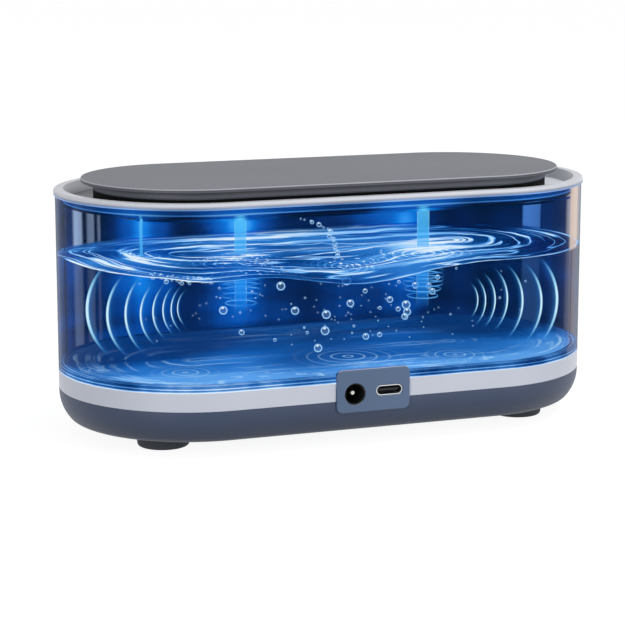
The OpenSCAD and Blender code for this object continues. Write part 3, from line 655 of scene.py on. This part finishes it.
def lit_foot():
    """Make a glowing sheet that paints the floor's light into the clear wall round it."""
    made, add, place, axes = start("polycarbonate_lit_foot")
    glimmer = add("*", add("-", add("TexNoise", place, 70, 3), 0.32), 1.4)
    seam = lines(add, add("+", from_wall(add, axes), axes["Z"]), 1.3, 0.3)
    seam = add("+", add("*", seam, 0.5), glimmer)
    line = add("MapRange", axes["Z"], WALL_LOW.z + 2.5 * MM, WALL_LOW.z + 3.5 * MM, 1.6, 0)
    back = add("MapRange", axes["Y"], -10 * MM, 30 * MM, 0, 0.9)
    level = add("-", add("+", seam, line), back)
    blues = ((0, "#03306a"), (0.35, "#2468b4"), (0.75, "#7ab8f2"), (1, "#e6f2ff"))
    lit(add, add("ValToRGB", level, stops=blues))

    stadium_line(OUTER_R - 0.2 * MM, FLOOR_TOP + 0.05 * MM)
    edit()
    bpy.ops.mesh.edge_face_add()
    bpy.ops.mesh.inset(thickness=2.4 * MM)
    bpy.ops.mesh.delete(type="FACE")
    edge = OUTER_R - 0.3 * MM

    def outermost(part, at):
        return all(Vector((max(abs(v.co.x) - HALF_STRAIGHT, 0), v.co.y)).length > edge for v in part.verts)

    pick(outermost, "EDGE")
    extrude(z=WALL_LOW.z + 1.2 * MM - FLOOR_TOP)
    left, right = (corner.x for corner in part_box("port_panel"))

    def behind_panel(part, at):
        return at.z < FLOOR_TOP and at.y < 0 and all(left < v.co.x < right for v in part.verts)

    pick(behind_panel, "FACE")
    bpy.ops.mesh.delete(type="FACE")
    shut()
    settle("wall_foot_light", made)


class CLEANER_OT_tank(Operator):
    """Finish the clear wall, the frosted rim, the gasket and the steel floor"""

    bl_idname = "cleaner.tank"
    bl_label = "Tank"

    def execute(self, context):
        clear_wall(context.scene.cleaner_water.level)
        # Silicone, moulded: pale grey, soft and matt
        moulded("floor_gasket", "silicone_grey_gasket", "#9aa0aa", rough=0.6, grain=0.8 * MM)
        frosted_rim(context.scene.cleaner_housing)
        lit_floor(context.scene.cleaner_water.spark)
        lit_foot()
        return {"FINISHED"}


class CLEANER_OT_electronics(Operator):
    """Finish the board, its parts, the leads, the ultrasonic disc and the light strip"""

    bl_idname = "cleaner.electronics"
    bl_label = "Electronics"

    def execute(self, context):
        # Glass-epoxy board under green solder mask: paler lines where copper tracks run beneath it
        tracks = traced(6 * MM)
        mask = {"rough": 0.32, "grain": 1.2 * MM, "drift": 0.2, "relief": tracks, "mark": tracks}
        moulded("main_board usb_board", "fr4_green_solder_mask", "#1b5638", marked="#3b8458", **mask)
        # Transfer-moulded epoxy: black and dull, with a fine sandy skin
        skin = {"rough": 0.58, "grain": 0.3 * MM, "depth": 0.02 * MM}
        moulded("driver_chip power_transistor usb_header", "epoxy_moulded_black", "#1c1d20", **skin)
        # Sintered ferrite: dark grey and dry, with pale grains
        grains = {"rough": 0.75, "drift": 0.15, "mark": speckled(0.7 * MM), "marked": "#55565c"}
        moulded("inductor_core", "ferrite_sintered", "#34353a", **grains)
        # Enamelled copper wire, wound: bright orange-brown turns with dark gaps
        turns = {"relief": stacked(0.7), "mark": stacked(0.7), "marked": "#d98a4c", "depth": 0.2 * MM}
        wire = {"rough": 0.28, "metallic": 1, "drift": 0.1}
        moulded("inductor_coil", "copper_enamelled_wire", "#b8622d", **turns, **wire)
        # Aluminium can in a shrunk sleeve: dark blue sides and a bare, brushed top
        can = {"rough": 0.3, "depth": 0.02 * MM, "relief": brushed, "mark": topped, "marked": "#c3c6cb"}
        moulded("capacitors", "aluminium_can_sleeved", "#22304f", **can)
        # Aluminium, turned: rings from the tool that catch the light
        lathe = {"rough": 0.33, "depth": 0.02 * MM, "metallic": 1, "relief": turned("transducer_disc", 0.6)}
        moulded("transducer_disc", "aluminium_turned_disc", "#c4c6ca", **lathe)
        # Fired ceramic: buff, dry and finely speckled
        fired = {"rough": 0.7, "drift": 0.12, "mark": speckled(0.5 * MM), "marked": "#9c8e70"}
        moulded("piezo_disc", "ceramic_fired_piezo", "#b9ab8c", **fired)
        # Silver paste, screened and fired: a soft metal sheen with screen marks
        paste = {"rough": 0.45, "metallic": 1, "drift": 0.12, "relief": brushed}
        moulded("piezo_electrode", "silver_fired_paste", "#d6d4cd", **paste)
        # Light strip under white solder mask: near white, with grey tracks showing through
        strip = {"rough": 0.4, "drift": 0.03, "mark": traced(5 * MM), "marked": "#c9cdd2"}
        moulded("led_strip", "fr4_white_solder_mask", "#e6e8ea", **strip)
        # Clear resin over blue chips: glossy, lit from within
        resin = {"rough": 0.18, "grain": 1 * MM, "mark": speckled(2 * MM), "marked": "#cfe8ff", "shine": 0.7}
        moulded("leds", "resin_cast_blue_light", "#3f8dff", **resin)
        # Natural nylon: milky cream, waxy
        moulded("lead_plugs", "nylon_moulded_natural", "#e3dfd3", rough=0.48, grain=0.7 * MM)
        # Extruded PVC: even colour, smooth sheen, fine lines along the wire
        moulded("transducer_leads", "pvc_extruded_red", "#b3231f", rough=0.4, relief=brushed)
        moulded("light_leads", "pvc_extruded_black", "#1a1a1c", rough=0.4, relief=brushed)
        # Acetal: white, slippery and slightly clear-looking
        moulded("switch_plunger", "acetal_moulded_white", "#dcdcd6", rough=0.32, drift=0.03)
        # Glass-filled nylon: black with a faint fibre grain
        moulded("switch_body", "nylon_glass_filled", "#202124", rough=0.5, relief=brushed)
        return {"FINISHED"}


def blue_depth(look):
    """Painted blue light, glowing in the plastic and water of the far side, brighter behind each shaft of
    light.
    """
    made, add, place, axes = start("water_depth_blue")
    made.use_backface_culling = True
    slant = slanted(add, axes)
    side = add("NewGeometry").outputs["Backfacing"]
    front = add("-", 1, side)

    glow = halos(
        add, axes, (-65.6, 17, 0.5), (-65.6, 5, 0.25), (-30.6, 22, 0.5), (-30.6, 8, 0.3),
        (28, 26, 0.46), (33, 9, 0.3), (-89, 8, 0.2), (86, 12, 0.2),
    )
    glow = add("*", glow, add("MapRange", axes["Z"], 24 * MM, 50 * MM, 0.15, 1))
    tall = add("Mapping", place, named={"Scale": (1, 1, 0.1)})
    streaks = add("TexNoise", tall, 70, 3)
    wide = add("Mapping", place, named={"Scale": (0.25, 0.25, 2.2)})
    bands = add("*", add("TexNoise", wide, 60, 3), 0.6)
    drift = add("+", add("*", streaks, 0.6), bands)
    drift = add("*", add("-", drift, 0.6), 0.9)
    under = add("MapRange", axes["Z"], look.level - 3 * MM, look.level + 1 * MM, 1, 0)
    lift = add("MapRange", slant, 10 * MM, 60 * MM, 0.11, 0.02)
    level = add("+", glow, 0.06, drift, add("*", under, lift))
    blues = ((0, look.deep), (0.2, "#032a62"), (0.45, "#0555b0"), (0.75, "#0f84e4"), (1, "#4cbcff"))
    shade = add("ValToRGB", level, stops=blues)

    # Painted reflections, as upright panes of light: slanted place and half width in millimetres, and
    # strength
    bars = []
    panes = ((-87, 1.8, 0.85), (-83.1, 1.6, 0.4), (-80.4, 0.9, 0.3), (78.8, 3.4, 0.65), (91, 1.8, 0.7))
    for x, wide, power in panes:
        gap, soft = gap_to(add, slant, x), (wide - 1) * MM
        bars.append(add("MapRange", gap, soft, wide * MM, power, 0, **SOFT))
    dulled = add("-", 1, add("*", under, 0.75))
    uneven = add("+", add("*", streaks, 1.4), 0.2)
    pane = add("*", add("+", *bars), dulled, uneven)
    across = add("MapRange", slant, -100 * MM, 100 * MM)
    whites = ((0.3, "#c3d6f2"), (0.6, "#5c9aec"), (0.92, "#5c9aec"), (0.94, "#dccfc8"))
    shade = add("Mix", add("*", pane, front), shade, add("ValToRGB", across, stops=whites), **RGBA)

    # A narrow strip under the rim shows from both sides, where the shafts of light begin
    strip = add("Math", axes["Z"], RIM_LOW - 0.1 * MM, 0.4 * MM, operation="COMPARE")
    strip = add("*", strip, add("LESS_THAN", add("ABSOLUTE", axes["X"]), 74 * MM))
    heads = halos(add, axes, (-60, 0.8, 0.9), (-28.2, 2.9, 1), (32.5, 3, 1))
    heads = add("*", heads, strip, side)
    shade = add("Mix", heads, shade, SHAFT_BLUE, **RGBA)
    lit(add, shade, add("MAXIMUM", front, strip))
    return made


class CLEANER_OT_far_wall(Operator):
    """Line the tank with a thin sheet, painted with the glowing blue depth of the water and seen from inside
    only
    """

    bl_idname = "cleaner.far_wall"
    bl_label = "Lit far wall"

    def execute(self, context):
        low, high = WALL_LOW.z + 1 * MM, WALL_HIGH.z - 0.1 * MM
        stadium_line(OUTER_R - 0.15 * MM, low)
        edit()
        extrude(z=high - low)
        edit()
        bpy.ops.mesh.normals_make_consistent(inside=True)
        shut()
        sheet = settle("tank_far_wall_light", blue_depth(context.scene.cleaner_water))
        face = sheet.data.polygons[0]
        if face.normal.dot(Vector((0, 0, face.center.z)) - face.center) < 0:
            sheet.data.flip_normals()
        return {"FINISHED"}


def ringed_water():
    """Water with its blue light painted on as glow: dark troughs, and painted white lines where the rings
    gather the light.
    """
    made, add, place, axes = start("water_lit_surface")
    sway = add("*", add("-", add("TexNoise", place, 20, 2), 0.5), 18 * MM)
    reach = from_wall(add, axes)
    wall = add("+", reach, sway)
    stretched = add("Mapping", place, named={"Scale": (0.3, 1, 1)})
    patch = add("TexNoise", stretched, 48, 3)
    where = add("MapRange", patch, 0.44, 0.62)
    broad = add("TexNoise", stretched, 17, 1)

    # Lines that follow the wall, calmer towards the far side
    run = add("CombineXYZ", add("*", axes["X"], 0.12), wall)
    streak = add("TexNoise", run, 95, 3, 0.5)
    ridge = add("ABSOLUTE", add("-", streak, 0.47))
    ridge = add("MapRange", ridge, 0.004, 0.021, 1, 0)
    streak = add("MapRange", streak, 0.52, 0.7, **SOFT)
    rings = add("*", lines(add, wall, 11, 0.7), where)
    bright = add("+", rings, add("*", streak, 0.5), ridge)
    power = add("MapRange", broad, 0.38, 0.62, 0.7, 1.1)
    calm = add("MapRange", axes["Y"], -2 * MM, 18 * MM, 1, 0.45)
    parts = [add("*", bright, power, calm)]

    # Broad bands of light along the tank: place and half width in millimetres, and strength
    ends = add("MapRange", add("ABSOLUTE", axes["X"]), 34 * MM, 66 * MM, 1, 0)
    uneven = add("+", add("*", broad, 1.6), -0.2)
    for middle, wide, strength in ((27, 4, 0.85), (14, 2.2, 0.7), (-30, 2.4, 0.6)):
        gap, soft = gap_to(add, add("+", axes["Y"], sway), middle), 0.3 * wide * MM
        band = add("MapRange", gap, soft, wide * MM, strength, 0, **SOFT)
        parts.append(add("*", band, ends, uneven))

    # Round ripples: place, pitch and reach in millimetres
    spots = ((-37.3, -20, 3.4, 17), (27, -20, 3, 17), (-2.7, -24, 2.2, 13), (-63, 0.6, 3, 12))
    for x, y, pitch, spread in spots:
        away = add("+", from_point(add, place, x, y), add("*", sway, 0.32))
        parts.append(add("*", lines(add, away, pitch, 0.4, 1, spread), add("+", where, 0.35)))

    # Painted sparkle of foam droplets over the ripples: place and reach in millimetres. Real ones are too
    # fine to show
    drops = add("MapRange", add("TexVoronoi", place, 520), 0.16, 0.32, 1, 0)
    splash = add("MapRange", add("TexNoise", place, 55, 2), 0.46, 0.56)
    foam = []
    for x, y, wide in ((-37.3, -20, 22), (-2.7, -24, 16), (29, -16, 20)):
        foam.append(add("MapRange", from_point(add, place, x, y), 0.4 * wide * MM, wide * MM, 1, 0))
    parts.append(add("*", drops, splash, add("MAXIMUM", *foam), 1.3))

    # The line where the water meets the wall, bright in front
    edge = add("MapRange", reach, OUTER_R - 2 * MM, OUTER_R - 0.9 * MM)
    near = add("MapRange", axes["Y"], -12 * MM, 6 * MM, 1, 0.1)
    parts.append(add("*", edge, add("+", where, 0.45), near))
    bright = add("MINIMUM", add("+", *parts), 1)

    # Glow at the feet of the shafts and over the lit floor: place and reach in millimetres, and strength
    glow = []
    feet = [(x, y, *spot) for (_, x, y, *_), spot in zip(SHAFTS, ((12, 0.25), (17, 0.35), (18, 0.36)))]
    for x, y, wide, strength in (*feet, (16, -28, 34, 0.26), (8, 24, 60, 0.16)):
        glow.append(add("MapRange", from_point(add, place, x, y), 0, wide * MM, strength, 0, **SOFT))
    dark = add("MapRange", axes["X"], 38 * MM, 62 * MM, 0, -0.24)
    patch = add("*", add("-", patch, 0.2), 0.9)
    level = add("+", add("*", bright, 0.7), patch, add("+", *glow), dark)
    blues = ((0, "#01265c"), (0.22, "#0f57a4"), (0.45, "#3488d8"), (0.68, "#8cccff"), (0.95, "#f0fbff"))
    share = add("MapRange", level, 0, 0.5, 0.4, 1)
    back = add("+", axes["Y"], add("*", sway, 0.5))
    soft = add("MapRange", back, 28 * MM, 42 * MM, 1, 0.15)
    lit(add, add("ValToRGB", level, stops=blues), add("*", share, soft), "#8fb8ea")
    return made


class CLEANER_OT_water(Operator):
    """Make the ringed top of the water"""

    bl_idname = "cleaner.water"
    bl_label = "Water"

    def execute(self, context):
        look = context.scene.cleaner_water
        made = ringed_water()
        bpy.ops.mesh.primitive_grid_add(x_subdivisions=120, y_subdivisions=116, size=2)
        sheet = context.object
        sheet.scale = (HALF_STRAIGHT, OUTER_R - 0.3 * MM, 1)
        sheet.location.z = look.level
        bpy.ops.object.transform_apply()
        edit()
        for side in (1, -1):
            end = side * HALF_STRAIGHT
            pick(lambda part, at: abs(at.x - end) < 1e-6 and at.y * side > 0, "EDGE")
            bpy.ops.mesh.spin(steps=150, angle=math.pi, center=(end, 0, look.level), axis=(0, 0, 1))
        edit()
        bpy.ops.mesh.remove_doubles(threshold=1e-5)
        bpy.ops.mesh.normals_make_consistent(inside=False)
        shut()
        if sheet.data.polygons[0].normal.z < 0:
            sheet.data.flip_normals()
        # Place, reach, width and narrowness of each wave in millimetres, and its height: in
        # millimetres for the three slow heaves, and as a share of the swell for the rings
        heaves = ((-3, -43, 0, 60, 24, -4.8), (-52, -43, 0, 34, 13, -1.4), (-88, 0, 0, 50, 26, 2))
        rings = (
            (-37.3, -20, 26, 2, 1.25, 0.7), (27, -20, 26, 1.8, 1.1, 0.6), (-66, 4, 40, 2.6, 1.6, 0.5),
            (66, 2, 50, 2.8, 1.7, 0.5), (2, 8, 70, 3.4, 2.1, 0.5),
        )
        for x, y, spread, wide, narrow, height in heaves + rings:
            wave = sheet.modifiers.new("Wave", "WAVE")
            wave.use_cyclic = spread > 0
            wave.time_offset = wave.speed = wave.lifetime = 0
            wave.start_position_x, wave.start_position_y = x * MM, y * MM
            wave.falloff_radius = spread * MM
            wave.width, wave.narrowness = wide * MM, 1 / (narrow * MM)
            wave.height = height * (look.swell if spread else MM)
            bpy.ops.object.modifier_apply(modifier=wave.name)
        chop = bpy.data.textures.new("chop", "CLOUDS")
        chop.noise_scale = 8 * MM
        rough = sheet.modifiers.new("Chop", "DISPLACE")
        rough.texture, rough.texture_coords, rough.direction = chop, "LOCAL", "Z"
        rough.strength = 0.55 * look.swell
        bpy.ops.object.modifier_apply(modifier=rough.name)
        bpy.ops.object.shade_smooth()
        settle("water_surface", made)
        return {"FINISHED"}


class CLEANER_OT_wavefronts(Operator):
    """Make the bright sound fronts that spread from both ends"""

    bl_idname = "cleaner.wavefronts"
    bl_label = "Sound fronts"

    def execute(self, context):
        # Light in the water: sharp on the outer side of each front, soft inwards and at both tips
        made, add, *_ = start("water_sound_front")
        across = add("SeparateXYZ", add("UVMap", uv_map="front")).outputs
        sharp = ((0, 0), (0.05, 1), (0.26, 1), (0.4, 0.25), (1, 0))
        tips = ((0, 0), (0.22, 0.75), (0.4, 1), (0.6, 1), (0.78, 0.75), (1, 0))
        line = add("ValToRGB", across["X"], stops=sharp)
        part = add("*", line, add("ValToRGB", across["Y"], stops=tips))
        blues = ((0, "#1f7fe0"), (0.3, "#4aa8f0"), (0.8, "#a8e8ff"), (1, "#d8f8ff"))
        lit(add, add("ValToRGB", part, stops=blues), part)

        # Tip, radius and height of each front in millimetres
        left = (
            (-81.6, 19.9, 41.1), (-74.9, 17.9, 39), (-68.8, 16.8, 38.8), (-63.7, 13.6, 38.5),
            (-59.5, 12.2, 39), (-56.1, 10.9, 39.3), (-53.3, 10.1, 39.5), (-51.1, 8.1, 39.7),
        )
        right = (
            (81.2, 20.2, 36), (75.2, 18.1, 35.6), (68, 16.9, 36.5), (62.2, 14.3, 37.7),
            (57.6, 12.6, 37.6), (54, 10.9, 37.6), (51.1, 7.9, 38),
        )
        kept = 0.62  # Share of the radius past which a front's arc is kept
        for name, side, depth, fronts in (("left", -1, 0, left), ("right", 1, -12, right)):
            for index, (tip, radius, height) in enumerate(fronts):
                choose()
                centre = Vector((tip - side * radius, depth, height)) * MM
                radius *= MM
                wide = 3.2 * 0.86**index * MM
                turn = (math.pi / 2, 0, 0)
                bpy.ops.mesh.primitive_circle_add(vertices=128, radius=radius, location=centre, rotation=turn)
                bpy.ops.object.transform_apply()
                edit()
                cut = centre + Vector((side * radius * kept, 0, 0))
                bpy.ops.mesh.bisect(plane_co=cut, plane_no=(side, 0, 0), clear_inner=True, threshold=1e-7)
                edit()
                extrude(x=-side * wide)
                shut()
                piece = context.object
                sheet = piece.data.uv_layers.new(name="front")
                reach = radius * math.sqrt(1 - kept**2)
                for corner in piece.data.loops:
                    at = piece.data.vertices[corner.vertex_index].co
                    rise = at.z - centre.z
                    arc = centre.x + side * math.sqrt(max(0, radius**2 - rise**2))
                    sheet.data[corner.index].uv = (abs(arc - at.x) / wide, 0.5 + 0.5 * rise / reach)
                settle(f"sound_front_{name}_{index + 1}", made)
        return {"FINISHED"}


class CLEANER_OT_beams(Operator):
    """Make the upright shafts of light"""

    bl_idname = "cleaner.beams"
    bl_label = "Light shafts"

    def execute(self, context):
        # Light scattered along its way down: strongest under the rim, gone near the floor
        made, add, _, axes = start("water_light_shaft")
        climb = add("MapRange", axes["Z"], 36 * MM, 75 * MM)
        fall = ((0, 0), (0.14, 0.38), (0.45, 0.62), (0.8, 0.65), (1, 0.8))
        blues = ((0, "#1284f4"), (0.3, "#30a8ff"), (0.8, "#5cccff"), (1, "#8ce4ff"))
        brim = add("MapRange", add("LayerWeight", 0.5).outputs["Facing"], 0.45, 0.85, 0, 0.5)
        tone = add("Mix", brim, add("ValToRGB", climb, stops=blues), "#b4f0ff", **RGBA)
        core = add("MapRange", brim, 0, 0.5, 0.7, 1)
        lit(add, tone, add("*", core, add("ValToRGB", climb, stops=fall)))

        # The same light on the edges of the ripples that it sets off below the surface
        ring, add, place, axes = start("water_light_ring")
        share = add("MapRange", add("TexNoise", place, 120, 1), 0.35, 0.65, 0.3, 0.5)
        ends = halos(add, axes, (-29.2, 8.2, 1), (35.1, 8.2, 1))
        ends = add("MapRange", ends, 0, 0.3, 0.12, 1.15)
        tone = add("ValToRGB", share, stops=((0.3, "#2c94f4"), (0.5, "#64bcfc")))
        lit(add, tone, add("*", share, ends))

        # Height and radius of each ring in millimetres
        rings = ((48.8, 6.9), (47.3, 7.2), (45.9, 7), (44.4, 6.8), (42.6, 6.1), (40.2, 5.1))
        for name, x, y, radius, low in SHAFTS:
            choose()
            middle = (x * MM, y * MM, (SHAFT_TOP + low) / 2 * MM)
            tube = {"radius": radius * MM, "depth": (SHAFT_TOP - low) * MM, "end_fill_type": "NOTHING"}
            bpy.ops.mesh.primitive_cylinder_add(vertices=48, location=middle, **tube)
            bpy.ops.object.shade_smooth()
            settle(f"light_shaft_{name}", made)
            if name == "left":
                continue
            for index, (height, wide) in enumerate(rings):
                choose()
                size = {"major_radius": wide * MM, "minor_radius": 0.19 * MM}
                steps = {"major_segments": 64, "minor_segments": 6}
                bpy.ops.mesh.primitive_torus_add(location=(x * MM, y * MM, height * MM), **size, **steps)
                bpy.ops.object.shade_smooth()
                settle(f"light_ring_{name}_{index + 1}", ring)
        return {"FINISHED"}


class CLEANER_OT_bubbles(Operator):
    """Scatter the bubbles, the splash drops and the foam"""

    bl_idname = "cleaner.bubbles"
    bl_label = "Bubbles"

    def execute(self, context):
        # Air in water: a clear middle, a bright ring at its edge and one small white glint
        made, add, *_ = start("water_bubble")
        share = add("MapRange", add("Fresnel", 1.33), 0.06, 0.6, 0.06, 0.9)
        glint = add("MapRange", toward(add, -0.35, -0.6, 0.72), 0.93, 0.98)
        glint = add("*", glint, in_front(add))
        tone = add("Mix", glint, "#a4d8ff", "#ffffff", **RGBA)
        lit(add, tone, add("MAXIMUM", share, glint))

        # Place and radius of each one in millimetres
        dice = random.Random(7)
        places = []
        for _ in range(context.scene.cleaner_water.bubbles):
            place = dice.gauss(10, 26), dice.uniform(-26, 26), dice.uniform(27, 53)
            places.append((*place, 0.24 + 1.4 * dice.random() ** 6))
        # Drops thrown up in a curve from the middle ring
        drops = 28
        for step in range(drops):
            climb = step / (drops - 1)
            x = -4 - 5 * climb - 7 * climb**5 + dice.gauss(0, 0.5)
            y = -24 + dice.gauss(0, 0.6)
            places.append((x, y, 58 + 12.6 * climb**0.9, 0.3 + 0.55 * dice.random() ** 2))
        # Foam where the swell meets the near wall on the left, on a line just inside the wall
        centre, radius = -46, 39.3
        for _ in range(44):
            x = dice.uniform(-69, -51)
            y = -((radius**2 - (x - centre) ** 2) ** 0.5)
            z = 55.7 + 0.0045 * (x + 52) ** 2 + dice.gauss(0, 0.5)
            places.append((x, y, z, 0.32 + 0.5 * dice.random() ** 2))

        choose()
        bpy.ops.mesh.primitive_ico_sphere_add(subdivisions=2, radius=1)
        first = context.object
        copies = []
        for x, y, z, size in places:
            choose(first)
            bpy.ops.object.duplicate()
            copy = context.object
            copy.scale = (size * MM,) * 3
            copy.location = Vector((x, y, z)) * MM
            copies.append(copy)
        bpy.data.objects.remove(first)
        choose(*copies)
        bpy.ops.object.join()
        bpy.ops.object.shade_smooth()
        settle("water_bubbles", made)
        return {"FINISHED"}


class CLEANER_PT_panel(Panel):
    """The cleaner's sizes, colours and steps in the sidebar"""

    bl_idname = "CLEANER_PT_panel"
    bl_label = "Ultrasonic jewelry cleaner"
    bl_space_type = "VIEW_3D"
    bl_region_type = "UI"
    bl_category = "Cleaner"

    def draw(self, context):
        for name, _ in GROUPS:
            group = getattr(context.scene, name)
            box = self.layout.box()
            for field in group.__annotations__:
                box.prop(group, field)
        for step in STEPS:
            self.layout.operator(step.bl_idname)


GROUPS = (("cleaner_housing", HousingLook), ("cleaner_water", WaterLook), ("cleaner_stage", StageLook))
STEPS = (
    CLEANER_OT_stage, CLEANER_OT_housing, CLEANER_OT_sockets, CLEANER_OT_lid, CLEANER_OT_tank,
    CLEANER_OT_electronics, CLEANER_OT_far_wall, CLEANER_OT_water, CLEANER_OT_wavefronts,
    CLEANER_OT_beams, CLEANER_OT_bubbles,
)


def register():
    for _, group in GROUPS:
        bpy.utils.register_class(group)
    for name, group in GROUPS:
        setattr(bpy.types.Scene, name, PointerProperty(type=group))
    for made in (*STEPS, CLEANER_PT_panel):
        bpy.utils.register_class(made)


def unregister():
    for made in (CLEANER_PT_panel, *reversed(STEPS)):
        bpy.utils.unregister_class(made)
    for name, group in reversed(GROUPS):
        delattr(bpy.types.Scene, name)
        bpy.utils.unregister_class(group)


def main():
    register()
    for step in STEPS:
        choose()
        group, name = step.bl_idname.split(".")
        getattr(getattr(bpy.ops, group), name)()


if __name__ == "__main__":
    main()
